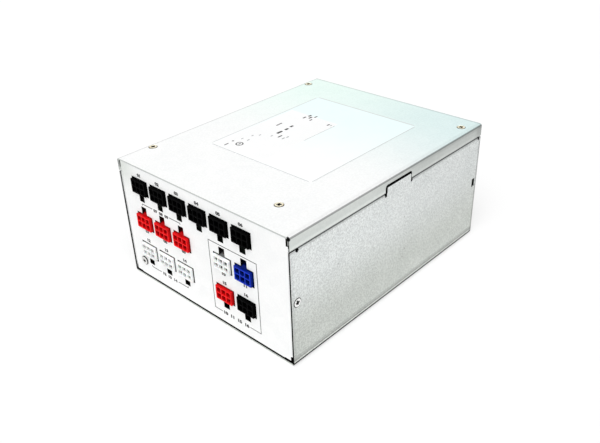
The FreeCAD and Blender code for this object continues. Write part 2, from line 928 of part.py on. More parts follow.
def bridge_rectifier():
    """Bridge rectifier on the primary heat sink, above the power devices."""
    face = sink_left_x + sink_thickness / 2
    z = board_top + bridge_lift
    y0 = device_first_y + device_pitch - bridge_width / 2
    return box(face, face + bridge_thickness, y0, y0 + bridge_width, z, z + bridge_height)


def can(radius, height, x, y):
    """Round capacitor can with softened ends, standing on the board."""
    body = Part.makeCylinder(radius, height, V(x, y, board_top))
    return body.makeFillet(can_edge, [e for e in body.Edges if e.Closed])


def column_middles():
    """Y of each piece of the left column, front to rear, with even gaps between the board's ends."""
    lengths = [2 * bulk_r] * bulk_count + [line_cap_depth] * line_caps
    lengths.append(2 * (line_choke_ring + line_choke_r))
    free = board_rear - board_front - 2 * column_inset - sum(lengths)
    gap = free / (len(lengths) - 1)
    middles, start = [], board_front + column_inset
    for length in lengths:
        middles.append(start + length / 2)
        start += length + gap
    return middles


def bulk_capacitor(index):
    """One of the large storage capacitors."""
    return can(bulk_r, bulk_height, column_x, column_middles()[index])


def line_capacitors():
    """Box capacitors of the line filter."""
    x0 = column_x - line_cap_width / 2
    top = board_top + line_cap_height
    starts = [y - line_cap_depth / 2 for y in column_middles()[bulk_count:-1]]
    blocks = [box(x0, x0 + line_cap_width, y, y + line_cap_depth, board_top, top) for y in starts]
    return [rounded(block, Z, can_edge) for block in blocks]


def ring_coil(ring, radius, x, y):
    """Wound ring lying on the board."""
    return Part.makeTorus(ring, radius, V(x, y, board_top + radius), Z)


def transformer_core():
    """Ferrite core with two windows."""
    half = core_centre / 2 + core_window + core_leg
    y0, y1 = core_y - core_depth / 2, core_y + core_depth / 2
    block = box(-half, half, y0, y1, board_top, board_top + core_height)
    windows = box(core_centre / 2, core_centre / 2 + core_window, y0, y1, board_top + core_yoke,
                  board_top + core_height - core_yoke)
    return block.cut(Part.makeCompound(mirrored_pair(windows)))


def transformer_winding():
    """Taped winding around the core's centre leg."""
    inner_w, inner_d = core_centre / 2 + winding_gap, core_depth / 2 + winding_gap
    outer_w, outer_d = core_centre / 2 + core_window - winding_gap, core_depth / 2 + winding_overhang
    z0 = board_top + core_yoke + winding_end_gap
    z1 = board_top + core_height - core_yoke - winding_end_gap
    coil = rounded(box(-outer_w, outer_w, core_y - outer_d, core_y + outer_d, z0, z1), Z, winding_corner)
    return coil.cut(box(-inner_w, inner_w, core_y - inner_d, core_y + inner_d, z0, z1))


def standby_transformer():
    """Small transformer: a core block with a taped bulge."""
    half_w, half_d = standby_width / 2, standby_depth / 2
    core = box(standby_x - half_w, standby_x + half_w, standby_y - half_d, standby_y + half_d,
               board_top, board_top + standby_height)
    wide = half_d + standby_bulge
    narrow = half_w - standby_bulge
    bulge = box(standby_x - narrow, standby_x + narrow, standby_y - wide, standby_y + wide,
                board_top + standby_bulge, board_top + standby_height - standby_bulge)
    return joined([core, rounded(bulge, Z, standby_bulge)])


def output_capacitors():
    """Rows of small capacitors at the output."""
    cans = []
    for i in range(output_cap_columns):
        x = half_width - board_side - output_cap_from_right + output_cap_r - i * output_cap_pitch
        for k in range(output_cap_rows):
            cans.append(can(output_cap_r, output_cap_height, x, output_cap_first_y + k * output_cap_pitch))
    return cans


def control_board():
    """Small upright board with the control circuit."""
    x1 = half_width - control_from_right
    top = board_top + control_height
    return box(x1 - control_width, x1, control_y, control_y + board_thickness, board_top, top)


def busbars():
    """Copper bars from the main board to the back of the socket board."""
    y, z = board_front + bar_setback, board_top + bar_rise
    bent = []
    for i in range(bars):
        x = bar_first_x + i * bar_step - bar_width / 2
        points = [V(x, y + bar_tab, board_top), V(x, y, board_top), V(x, y, z), V(x, socket_board_back, z)]
        bent.append(folded_sheet(points, -bar_thickness, bar_bend, X * bar_width))
    return bent


def inlet_screw_spots():
    """Screws of the inlet's flange, on its outer face."""
    return [V(inlet_x, inlet_face, inlet_z + k * inlet_screw_span / 2) for k in (-1, 1)]


def inlet_blade_spots():
    """Centres of the inlet's three blades, X and Z."""
    line_pair = [(inlet_x, inlet_z - blade_spread), (inlet_x, inlet_z + blade_spread)]
    return line_pair + [(inlet_x - blade_offset, inlet_z)]


def inlet_housing():
    """Inlet moulding: flange, body and a chamfered mouth."""
    flange = centred(inlet_x, inlet_z, inlet_flange_width, inlet_flange_height, rear_face, inlet_face)
    flange = rounded(flange, Y, inlet_flange_corner)
    body = centred(inlet_x, inlet_z, inlet_body_width, inlet_body_height, inlet_back, rear_face)
    w, h, c = inlet_mouth_width / 2, inlet_mouth_height / 2, inlet_mouth_chamfer
    floor = inlet_back + inlet_floor
    corners = [(-w + c, -h), (w, -h), (w, h), (-w + c, h), (-w, h - c), (-w, -h + c)]
    mouth = prism([V(inlet_x + x, floor, inlet_z + z) for x, z in corners], Y * (inlet_depth + past))
    cuts = [mouth] + [countersink(spot, Y) for spot in inlet_screw_spots()]
    wide, high = blade_width + 2 * blade_gap, blade_height + 2 * blade_gap
    cuts += [centred(x, z, wide, high, inlet_back - past, floor + past) for x, z in inlet_blade_spots()]
    return joined([flange, body]).cut(Part.makeCompound(cuts))


def inlet_blades():
    """Three contact blades through the inlet's floor."""
    y0, y1 = inlet_back - blade_tail, inlet_face - blade_setback
    bars_made = [centred(x, z, blade_width, blade_height, y0, y1) for x, z in inlet_blade_spots()]
    return [rounded(bar, Y, blade_corner) for bar in bars_made]


def inlet_screws():
    """Countersunk screws that hold the inlet to the rear panel."""
    return [placed(flat_screw(inlet_screw_length), spot, Y) for spot in inlet_screw_spots()]


def mains_leads():
    """Wires from the inlet's blades down to the main board."""
    leads = []
    for i, (x, z) in enumerate(inlet_blade_spots()):
        drop = lead_drop_y - (i % 2) * lead_spread
        points = [V(x, inlet_back - blade_tail, z), V(x, drop, z), V(x, drop, board_top)]
        leads.append(wire_along(points, lead_bend, lead_r))
    return leads


def around_fan(shape, y, turn):
    """Shape drawn along +Z, stood on the fan's axis at a depth and turned about it."""
    copy = placed(shape, fan_point(y), Y)
    copy.rotate(fan_point(0), Y, turn)
    return copy


def fan_frame():
    """Fan housing with its duct, square flanges, hub base, struts and bearing tube."""
    front, rear = fan_point(fan_front), fan_point(rear_inside)
    pieces = [rod(fan_bore_r + fan_wall, front, rear)]
    for y in (fan_front, rear_inside - fan_flange):
        flange = centred(fan_x, fan_z, fan_size, fan_size, y, y + fan_flange)
        pieces.append(rounded(flange, Y, fan_corner))
    shell = joined(pieces).cut(rod(fan_bore_r, front - Y * past, rear + Y * past))
    base_r = fan_hub_r - fan_hub_wall / 2
    hub = [rod(base_r, fan_point(fan_base_front), rear), rod(tube_r, fan_point(tube_front), rear)]
    half = fan_strut / 2
    for i in range(fan_struts):
        arm = box(base_r - past, fan_bore_r + fan_wall / 2, -half, half, 0, fan_base_thickness)
        hub.append(around_fan(arm, fan_base_front, 360 / fan_struts * i + fan_strut_turn))
    body = joined([shell] + hub)
    cuts = [rod(tube_bore, fan_point(tube_front - past), fan_point(fan_base_front))]
    y0, y1 = fan_front - past, rear_inside + past
    cuts += [rod(fan_hole_r, V(x, y0, z), V(x, y1, z)) for x, z in fan_hole_spots()]
    return body.cut(Part.makeCompound(cuts))


def blade_section(radius, chord, thickness, pitch):
    """Rectangle across a blade at one radius, about the fan's axis along +Y."""
    angle = math.radians(pitch)
    along = V(0, math.sin(angle), math.cos(angle)) * (chord / 2)
    across = V(0, math.cos(angle), -math.sin(angle)) * (thickness / 2)
    centre = V(radius, 0, 0)
    near, far = centre - across, centre + across
    points = [near - along, near + along, far + along, far - along]
    return Part.makePolygon(points + points[:1])


def fan_rotor():
    """Hub cup with its boss and twisted blades."""
    front = fan_point(hub_front)
    cup = rod(fan_hub_r, front, fan_point(hub_rear))
    cup = cup.cut(rod(hub_inner_r, front + Y * fan_hub_face, fan_point(hub_rear + past)))
    boss = rod(fan_boss_r, front, fan_point(boss_end))
    root_r = fan_hub_r - blade_root_sink
    root = blade_section(root_r, blade_root_chord, blade_root_thickness, blade_root_pitch)
    tip = blade_section(fan_bore_r, blade_tip_chord, blade_tip_thickness, blade_tip_pitch)
    blade = Part.makeLoft([root, tip], True, True).translated(fan_point(blade_mid))
    swept = rod(blade_tip_r, fan_point(fan_front), fan_point(rear_inside))
    blade = blade.common(swept)
    blades = [blade.rotated(fan_point(0), Y, 360 / fan_blades * i) for i in range(fan_blades)]
    whole = joined([cup, boss] + blades)
    return whole.cut(rod(fan_shaft_r, front - Y * past, fan_point(rear_inside)))


def fan_shaft():
    """Steel shaft pressed into the rotor and running in the bearing."""
    return rod(fan_shaft_r, fan_point(hub_front), fan_point(fan_base_front - fan_boss_gap))


def fan_bearing():
    """Sleeve bearing inside the frame's tube."""
    start, end = fan_point(tube_front), fan_point(fan_base_front)
    return rod(bearing_r, start, end).cut(rod(bearing_bore, start, end))


def fan_stator():
    """Four-pole coil pack on the frame's tube, inside the hub."""
    start, end = fan_point(hub_rear - stator_length), fan_point(hub_rear)
    cuts = [rod(tube_r + thread_gap, start, end)]
    half = stator_slot / 2
    slot = box(stator_core_r, stator_r + past, -half, half, 0, stator_length)
    for i in range(stator_poles):
        cuts.append(around_fan(slot, start.y, 360 / stator_poles * i + stator_turn))
    return rod(stator_r, start, end).cut(Part.makeCompound(cuts))


def fan_guard():
    """Wire guard: rings welded on four legs that end in screw eyes."""
    leg_y = rear_face + wire_r
    ring_y = leg_y + 2 * wire_r - guard_weld
    eye_r = fan_hole_r + guard_eye_gap + wire_r
    radii = [guard_first_ring + i * guard_pitch for i in range(guard_rings)]
    pieces = [Part.makeTorus(radius, wire_r, fan_point(ring_y), Y) for radius in radii]
    for x, z in fan_hole_spots():
        out = unit(fan_point(leg_y), V(x, leg_y, z))
        start = fan_point(leg_y) + out * (guard_first_ring - 2 * wire_r)
        pieces.append(rod(wire_r, start, V(x, leg_y, z) - out * eye_r))
        pieces.append(Part.makeTorus(eye_r, wire_r, V(x, leg_y, z), Y))
    return joined(pieces)


def fan_screws():
    """Screws through the guard's eyes and the rear panel into the fan's frame."""
    screw = pan_screw(fan_head_r, fan_head_height, fan_screw_length, fan_hole_r - thread_gap)
    return [placed(screw, V(x, rear_face + 2 * wire_r, z), Y) for x, z in fan_hole_spots()]


def fan_lead():
    """Lead from the fan's frame down to the main board."""
    x0 = fan_x - fan_size / 2
    x1 = x0 - fan_lead_out
    y0 = fan_front + fan_flange / 2
    y1 = board_rear - fan_lead_setback
    points = [V(x0, y0, fan_lead_z), V(x1, y0, fan_lead_z)]
    points += [V(x1, y1, fan_lead_z - fan_lead_drop), V(x1, y1, board_top)]
    return wire_along(points, fan_lead_bend, fan_lead_r)


def nodes():
    """Every piece by name, as one shape or a group of like ones."""
    made = {
        "chassis": chassis(), "top_cover": top_cover(),
        "front_panel": front_panel(), "rear_panel": rear_panel(),
        "rating_label": rating_label(), "cover_screws": cover_screws(), "side_screws": side_screws(),
        "base_screws": base_screws(), "panel_screw": panel_screw(), "socket_pins": socket_pins(),
        "socket_board": socket_board(), "socket_board_post": socket_board_post(), "main_board": main_board(),
        "insulating_film": insulating_film(), "standoffs": standoffs(), "board_screws": board_screws(),
        "primary_heat_sink": heat_sink(sink_left_x, -1), "secondary_heat_sink": heat_sink(sink_right_x, 1),
        "power_devices": power_devices(), "bridge_rectifier": bridge_rectifier(),
        "bulk_capacitor_1": bulk_capacitor(0), "bulk_capacitor_2": bulk_capacitor(1),
        "line_capacitors": line_capacitors(),
        "line_choke": ring_coil(line_choke_ring, line_choke_r, column_x, column_middles()[-1]),
        "boost_choke": ring_coil(boost_ring, boost_r, boost_x, boost_y),
        "output_choke": ring_coil(output_ring, output_ring_r, output_ring_x, output_ring_y),
        "transformer_core": transformer_core(), "transformer_winding": transformer_winding(),
        "standby_transformer": standby_transformer(), "output_capacitors": output_capacitors(),
        "control_board": control_board(), "busbars": busbars(), "inlet_housing": inlet_housing(),
        "inlet_blades": inlet_blades(), "inlet_screws": inlet_screws(), "mains_leads": mains_leads(),
        "fan_frame": fan_frame(), "fan_rotor": fan_rotor(), "fan_shaft": fan_shaft(),
        "fan_bearing": fan_bearing(), "fan_stator": fan_stator(), "fan_guard": fan_guard(),
        "fan_screws": fan_screws(), "fan_lead": fan_lead(),
    }
    for i, shape in enumerate(sockets(), 1):
        made[f"socket_{i:02d}"] = shape
    return made


def main():
    """Write one file per node and report any that isn't sound."""
    os.makedirs("parts", exist_ok=True)
    made = nodes()
    for name, shape in made.items():
        shape = Part.makeCompound(shape) if isinstance(shape, list) else shape
        if not shape.isValid():
            print("not valid:", name)
        shape.exportStep(f"parts/{name}.step")
        print(name, len(shape.Solids), round(shape.Volume, 1))
    print(len(made), "nodes")


main()
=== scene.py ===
"""Looks of a modular power supply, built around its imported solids.

Metres, in the solids' own frame: the origin is under the middle of the case, +X is to the right
when the sockets are seen from in front, +Y runs to the fan and +Z is up. Sizes below are in
millimetres and go through MM.
"""
import json
import logging
import math
from collections.abc import Iterable, Sequence
from dataclasses import dataclass, field
from enum import Enum
from functools import partial, reduce

import bmesh
import bpy
from bmesh.types import BMEdge, BMesh, BMFace, BMVert
from bpy.types import ID, Material, Mesh, Node, NodeTree, Object
from bpy.types import NodeSocket as Socket
from mathutils import Matrix, Vector


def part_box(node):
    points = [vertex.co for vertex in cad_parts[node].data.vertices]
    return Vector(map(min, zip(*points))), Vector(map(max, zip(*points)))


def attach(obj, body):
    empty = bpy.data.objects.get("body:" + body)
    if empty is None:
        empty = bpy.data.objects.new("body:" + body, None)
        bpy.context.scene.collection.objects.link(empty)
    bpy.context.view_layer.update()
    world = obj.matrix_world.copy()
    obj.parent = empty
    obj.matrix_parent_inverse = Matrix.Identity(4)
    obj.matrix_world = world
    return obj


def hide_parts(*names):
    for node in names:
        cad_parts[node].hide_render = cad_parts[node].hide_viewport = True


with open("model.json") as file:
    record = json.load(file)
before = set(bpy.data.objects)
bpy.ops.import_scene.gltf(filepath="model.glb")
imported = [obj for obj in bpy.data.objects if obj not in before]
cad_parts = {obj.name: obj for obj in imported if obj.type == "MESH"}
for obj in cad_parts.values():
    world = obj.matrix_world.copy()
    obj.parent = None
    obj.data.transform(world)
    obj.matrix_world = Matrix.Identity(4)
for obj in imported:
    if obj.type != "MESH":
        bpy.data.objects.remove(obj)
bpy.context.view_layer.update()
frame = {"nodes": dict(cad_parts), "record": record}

MM = 0.001
CASE_BODY = "case"
SOCKET_NUMBERS = range(1, 17)
# Two places closer than this, in metres, are one.
NO_DISTANCE = 1e-6
# Share of a face's normal along an axis from which the face counts as square to it.
FRONTAL = 0.9
# Where a soft mask of such faces starts and is full.
TURNED = (0.5, 0.7)
EVEN = (1.0, 1.0, 1.0)
log = logging.getLogger("power_supply")

Rgb = tuple[float, float, float]
Spot = tuple[float, float, float]
Box = tuple[float, float, float, float]
Value = Socket | Rgb | float
# A mask, or what ramp() makes one from.
Part = Socket | tuple


class Axis(Enum):
    """Axes of the part's frame."""

    X = "x"
    Y = "y"
    Z = "z"


class Sum(Enum):
    """Kinds of sums on patterns, by Blender's names."""

    ADD = "ADD"
    TIMES = "MULTIPLY"
    LARGEST = "MAXIMUM"
    UNSIGNED = "ABSOLUTE"


class Mixing(Enum):
    """Ways to mix two colours, by Blender's names."""

    COVER = "MIX"
    TINT = "MULTIPLY"


class Nodes:
    """A node tree under construction."""

    def __init__(self, tree: NodeTree) -> None:
        """Keep the tree that gets the nodes."""
        self.tree = tree

    def _set(self, target: Socket, value: Value) -> None:
        """Link a pattern to a socket, or set an even value on it.

        Args:
            target: The socket.
            value: A pattern, a colour or a number.
        """
        if isinstance(value, Socket):
            self.tree.links.new(value, target)
        else:
            target.default_value = (*value, 1.0) if target.type == "RGBA" else value

    def _node(self, kind: str, inputs: dict[int | str, Value]) -> Node:
        """Add a node.

        Args:
            kind: Blender's name for it.
            inputs: What goes into it, by the input's number or name.

        Returns:
            The node.
        """
        node = self.tree.nodes.new(kind)
        for key, value in inputs.items():
            self._set(node.inputs[key], value)
        return node

    def _math(self, kind: Sum, *values: Socket | float) -> Socket:
        """Add one arithmetic node.

        Args:
            kind: What it reckons.
            values: What goes in.

        Returns:
            The result.
        """
        node = self._node("ShaderNodeMath", dict(enumerate(values)))
        node.operation = kind.value
        return node.outputs[0]

    def combine(self, kind: Sum, *values: Socket | float) -> Socket:
        """Join values from left to right by one kind of sum."""
        return reduce(partial(self._math, kind), values)

    def seen(self) -> Socket:
        """A mask of what the camera sees, straight on or by reflection.

        Returns:
            The mask.
        """
        path = self._node("ShaderNodeLightPath", {}).outputs
        kinds = ("Camera", "Glossy", "Transmission")
        return self.combine(Sum.LARGEST, *(path[f"Is {kind} Ray"] for kind in kinds))

    def show(self, output: str, share: Socket, *shaders: Node) -> None:
        """Mix two shaders into the tree's output.

        Args:
            output: Name of the output's node.
            share: How much of the second shader shows.
            shaders: The two shaders.
        """
        inputs = dict(enumerate((share, *(node.outputs[0] for node in shaders))))
        mixed = self._node("ShaderNodeMixShader", inputs).outputs[0]
        self._set(self.tree.nodes[output].inputs["Surface"], mixed)


class Shade(Nodes):
    """A node material under construction. Its patterns are read on Object coordinates."""

    def __init__(self, name: str, colour: Rgb, roughness: float, metallic: float = 0.0) -> None:
        """Start a material whose even values sit on the shader's own sockets.

        Args:
            name: The material's name.
            colour: Base colour, linear.
            roughness: Base roughness.
            metallic: How much of the surface answers as bare metal.
        """
        self.material = bpy.data.materials.new(name)
        self.material.use_nodes = True
        super().__init__(self.material.node_tree)
        self.surface = self.tree.nodes["Principled BSDF"]
        self.feed(Base_Color=colour, Roughness=roughness, Metallic=metallic)
        where = self.tree.nodes.new("ShaderNodeTexCoord").outputs
        self.place = where["Object"]
        split = "ShaderNodeSeparateXYZ"
        self.x, self.y, self.z = self._node(split, {0: self.place}).outputs
        facing = self._node(split, {0: where["Normal"]}).outputs
        self.facing_x, self.facing_y, self.facing_z = facing

    def feed(self, **values: Value) -> None:
        """Give patterns or even values to the shader, named with underscores for spaces."""
        for key, value in values.items():
            self._set(self.surface.inputs[key.replace("_", " ")], value)

    def noise(self, size: float, detail: float = 3.0, rough: float = 0.55,
              stretch: Spot = EVEN) -> Socket:
        """Soft noise.

        Args:
            size: Size of its blotches in millimetres.
            detail: Octaves of finer noise on top.
            rough: How strong the finer octaves are.
            stretch: Scale by axis, above 1 for a finer pattern.

        Returns:
            A value about 0.5.
        """
        place = self.place
        if stretch != EVEN:
            place = self._node("ShaderNodeMapping", {"Scale": stretch, "Vector": place}).outputs[0]
        node = self._node("ShaderNodeTexNoise", {
            "Scale": 1 / (size * MM), "Detail": detail, "Roughness": rough, "Vector": place})
        return node.outputs["Fac"]

    def cells(self, size: float) -> tuple[Socket, Socket]:
        """Random cells.

        Args:
            size: Size of a cell in millimetres.

        Returns:
            The distance from each cell's point, and a value that is even within a cell.
        """
        inputs = {"Scale": 1 / (size * MM), "Vector": self.place}
        found = self._node("ShaderNodeTexVoronoi", inputs).outputs
        split = self._node("ShaderNodeSeparateColor", {0: found["Color"]})
        return found["Distance"], split.outputs[0]

    def span(self, source: Socket, start: float, end: float,
             low: float = 0.0, high: float = 1.0) -> Socket:
        """Map a value's range smoothly to another.

        Args:
            source: The value.
            start: Where the change starts.
            end: Where the change ends.
            low: Result at the start.
            high: Result at the end.

        Returns:
            The mapped value.
        """
        node = self._node("ShaderNodeMapRange", {
            "Value": source, "From Min": start, "From Max": end, "To Min": low, "To Max": high})
        node.interpolation_type = "SMOOTHSTEP"
        return node.outputs["Result"]

    def ramp(self, source: Socket, start: float, end: float,
             low: float = 0.0, high: float = 1.0) -> Socket:
        """As span(), for a place whose start and end are given in millimetres."""
        return self.span(source, start * MM, end * MM, low, high)

    def _mask(self, part: Part) -> Socket:
        """A mask as it is, or the ramp that a place, its start and its end make."""
        return part if isinstance(part, Socket) else self.ramp(*part)

    def strip(self, source: Socket, low: float, high: float, soft: float) -> Socket:
        """A mask between two places that fades over a soft edge outside them, in millimetres."""
        return self.both((source, low - soft, low), (source, high + soft, high))

    def faces(self, facing: Socket, sign: int = 1) -> Socket:
        """A mask of the faces that look along an axis, or against it with the sign -1."""
        return self.span(facing, *(sign * share for share in TURNED))

    def unsigned(self, source: Socket) -> Socket:
        """A value without its sign."""
        return self._math(Sum.UNSIGNED, source)

    def both(self, *parts: Part) -> Socket:
        """Where all of several masks or ramps meet."""
        return self.combine(Sum.TIMES, *map(self._mask, parts))

    def either(self, *parts: Part) -> Socket:
        """Where any of several masks or ramps is."""
        return self.combine(Sum.LARGEST, *map(self._mask, parts))

    def blend(self, share: Part, first: Rgb | Socket, second: Rgb | Socket,
              kind: Mixing = Mixing.COVER) -> Socket:
        """Mix two colours.

        Args:
            share: How much of the second colour shows.
            first: A colour or another pattern.
            second: A colour or another pattern.
            kind: How they mix.

        Returns:
            The mixed colour.
        """
        node = self.tree.nodes.new("ShaderNodeMix")
        node.data_type, node.blend_type = "RGBA", kind.value
        for number, value in ((0, self._mask(share)), (6, first), (7, second)):
            self._set(node.inputs[number], value)
        return node.outputs[2]

    def tint(self, tone: Rgb | Socket, *layers: tuple[Part, Rgb | float]) -> Socket:
        """Multiply a colour by others, each where its mask says so.

        Args:
            tone: The colour.
            layers: Masks and what to multiply by, in order.

        Returns:
            The tinted colour.
        """
        for mask, factor in layers:
            colour = factor if isinstance(factor, tuple) else (factor,) * 3
            tone = self.blend(mask, tone, colour, Mixing.TINT)
        return tone

    def relief(self, height: Socket, strength: float, depth: float) -> None:
        """Bump the surface by a pattern, its depth in millimetres."""
        inputs = {"Strength": strength, "Distance": depth * MM, "Height": height}
        self.feed(Normal=self._node("ShaderNodeBump", inputs).outputs["Normal"])


def scaled(colour: Rgb, factor: float) -> Rgb:
    """A colour made darker or lighter, up to white."""
    return tuple(min(1.0, c * factor) for c in colour)


@dataclass(frozen=True)
class Finish:
    """A finish, which is made into one material.

    Attributes:
        name: The material's name.
        colour: Base colour.
        roughness: Middle of the roughness range.
        metallic: Share of bare metal.
    """

    name: str
    colour: Rgb
    roughness: float = 0.4
    metallic: float = 0.0

    def make(self) -> Material:
        """Build the node material.

        Returns:
            The material.
        """
        shade = Shade(self.name, self.colour, self.roughness, self.metallic)
        self._dress(shade)
        return shade.material

    def _dress(self, shade: Shade) -> None:
        """Lay the finish's patterns on its material, which is under construction."""
        raise NotImplementedError


@dataclass(frozen=True)
class PlatedSheet(Finish):
    """Zinc-plated sheet steel: faint spangle, mottled grain, clouding and a few dark specks.

    Attributes:
        grain, fleck: Strength and size of the mottling.
        cloud, spangle: Size of the clouding and of the spangle.
        specks, speck_colour: Distance between dark specks, or none, and their colour.
        painted_shade_tone: Painted shade: what is left of the colour on edges, gaps and recesses
            painted black where shade falls.
    """

    roughness: float = 0.42
    metallic: float = 0.35
    grain: float = 0.07
    fleck: float = 1.3
    cloud: float = 38.0
    spangle: float = 7.0
    specks: float | None = None
    speck_colour: Rgb = (0.16, 0.15, 0.14)
    painted_shade_tone: float = 0.012

    def _ground(self, shade: Shade) -> Rgb | Socket:
        """The colour under the grain."""
        return self.colour

    def _edges(self, shade: Shade, tone: Socket) -> tuple[Socket, Socket | None]:
        """Lay edges and folds over the colour; also gives a mask of the painted shade that stays
        dark.
        """
        return tone, None

    def _dress(self, shade: Shade) -> None:
        """Lay grain, clouding, spangle, specks and edges over the ground; the edges are painted
        shade.

        Args:
            shade: The material under construction.
        """
        fine = shade.noise(self.fleck, rough=0.75)
        cloud = shade.noise(self.cloud, detail=4.0, rough=0.6)
        _, spangle = shade.cells(self.spangle)
        tone = shade.tint(
            self._ground(shade),
            (shade.span(fine, 0.36, 0.64), 1.0 - self.grain),
            (shade.span(cloud, 0.35, 0.7, 0.0, 0.7), (0.95, 0.955, 0.955)),
            (shade.combine(Sum.TIMES, spangle, 0.5), (0.955, 0.96, 0.965)))
        if self.specks:
            near, chance = shade.cells(self.specks)
            spot = shade.both(shade.span(near, 0.052, 0.022),
                              shade.span(chance, 0.52, 0.66, 0.0, 0.75))
            tone = shade.blend(spot, tone, self.speck_colour)
        tone, dark = self._edges(shade, tone)
        wear = shade.span(cloud, 0.3, 0.7, self.roughness - 0.06, self.roughness + 0.06)
        wear = shade.combine(Sum.ADD, wear, shade.combine(Sum.TIMES, spangle, 0.10))
        # Painted shade: the mask's edges, gaps and recesses go near black, fully rough and bare
        # metal.
        if dark:
            tone = shade.tint(tone, (dark, self.painted_shade_tone))
            wear = shade.either(wear, dark)
            shade.feed(Metallic=shade.span(dark, 0.1, 0.9, self.metallic, 1.0))
        shade.feed(Base_Color=tone, Roughness=wear)
        shade.relief(shade.combine(Sum.ADD, fine, spangle), 0.10, 0.05)


@dataclass(frozen=True)
class CaseSheet(PlatedSheet):
    """The chassis and rear panel, with painted shade: darker towards the foot, black in cut edges,
    gaps and recesses, and shaded at the seam.

    Attributes:
        low_shade_tone: Painted shade: how much darker the foot of the walls is, by colour.
        rear_shade_tone: Painted shade: how much darker the upper rear is.
        lit_lining: Painted light: a pale colour laid on the walls' inner faces to lift the shade
            in the gap behind the front panel.
        seam: Height at which the stepped edge goes in behind the cover.
        skin: How far out a wall's outer face lies.
        painted_foot_lines: Lines of painted shade along the foot, and one of painted highlight on
            its fold: low edge, high edge, soft edge and tone.
        reliefs: Start and end of the relief cuts along a wall's upper edge.
    """

    low_shade_tone: Rgb = (0.75, 0.757, 0.722)
    rear_shade_tone: float = 0.895
    lit_lining: Rgb = (0.94, 0.95, 0.945)
    seam: float = 76.5
    skin: float = 74.6
    painted_foot_lines: tuple[Box, ...] = (
        (3.7, 5.8, 0.6, 0.79), (3.4, 4.1, 0.3, 0.72), (2.5, 3.1, 0.2, 1.25))
    reliefs: tuple[tuple[float, float], ...] = ((-90.6, -88.2), (12.9, 14.6), (91.3, 93.0))

    def _ground(self, shade: Shade) -> Socket:
        """Painted light and shade: brighter to the top and front, darker to the foot and the upper
        rear.
        """
        rear = shade.both((shade.y, -50, 60), (shade.z, 20, 60))
        return shade.tint(self.colour, ((shade.z, 62, 18), self.low_shade_tone), (rear, self.rear_shade_tone))

    def _edges(self, shade: Shade, tone: Socket) -> tuple[Socket, Socket]:
        """Painted shade and a painted highlight at the foot, painted shade at the seam, and black
        painted shade on cut edges, gaps and recesses.

        Args:
            shade: The material under construction.
            tone: Colour with its grain.

        Returns:
            The colour with its edges, and a mask of the painted shade that stays dark.
        """
        y, z, across = shade.y, shade.z, shade.unsigned(shade.x)
        flank = shade.faces(shade.unsigned(shade.facing_x))
        crosswise = shade.faces(shade.unsigned(shade.facing_y))
        outside = shade.both((across, 73.8, 74.0), flank)
        # Painted light: the inner faces of the walls take the pale lining colour.
        inside = shade.both((across, 74.1, 74.02), flank)
        # Painted shade in two bands above the foot's fold, and a painted highlight on the fold
        # itself.
        foot = [(shade.both(outside, shade.strip(z, low, high, soft)), share)
                for low, high, soft, share in self.painted_foot_lines]
        # Painted shade: a band under the seam beside the tab, the wall behind the cover's flange,
        # and the front and rear ends of the walls.
        beside_tab = shade.either((y, -11.3, -11.7), (y, 12.9, 13.3))
        brink = shade.both(outside, beside_tab, shade.strip(z, 75.7, 76.8, 0.6))
        behind = shade.both(flank, (z, self.seam, self.seam + 0.15),
                            (across, self.skin + 0.1, self.skin))
        rear_end = shade.both(outside, (y, 93.0, 93.8))
        front_end = shade.both(outside, (y, -92.2, -93.6))
        tone = shade.blend(inside, shade.tint(tone, *foot, (brink, 0.74)), self.lit_lining)
        tone = shade.tint(tone, (behind, 0.55), (rear_end, 0.62), (front_end, 0.90))

        # Painted shade, near black: cut edges, the hidden step at the seam, relief notches, tab
        # and hook slot rims, the gap under the flange, the inner faces at the mouth, the bottom
        # fold and the inner floor.
        step = shade.either((z, 77.0, 77.5, 0.62, 1.0), (y, -88.3, -88.8))
        upward = shade.both(shade.span(shade.facing_z, 0.4, 0.6), (z, 70, 71), step)
        fade = shade.either((shade.x, -10, 10), (z, 82, 46, 0.2, 1.0))
        sheared = shade.both(shade.either(upward, crosswise), (y, 94.0, 93.5), (z, 0.9, 1.3), fade)
        hidden = shade.both((across, 74.1, 74.3), (across, 74.9, 74.7), step)
        notches = shade.either(*(shade.strip(y, low, high, 0.1) for low, high in self.reliefs))
        notches = shade.both(notches, (z, 75.3, 75.6))
        tab_top = shade.both((z, 76.8, 77.1), (y, -10.9, -11.2))
        slot = shade.both(shade.strip(y, 89.4, 92.4, 0.1), shade.strip(z, 39.9, 45.9, 0.1))
        rim = shade.both(outside, shade.either(notches, (z, 80.5, 80.8), tab_top, slot))
        gap = shade.both(behind, (z, 78.2, 78.5))
        mouth = shade.both(inside, (y, -94.4, -94.7))
        bend = shade.both((z, 2.3, 2.0), (across, 72.8, 73.4), shade.span(crosswise, 1.0, 0.5))
        floor = shade.both((z, 1.2, 1.1), shade.faces(shade.facing_z))
        return tone, shade.either(sheared, hidden, rim, gap, mouth, bend, floor)


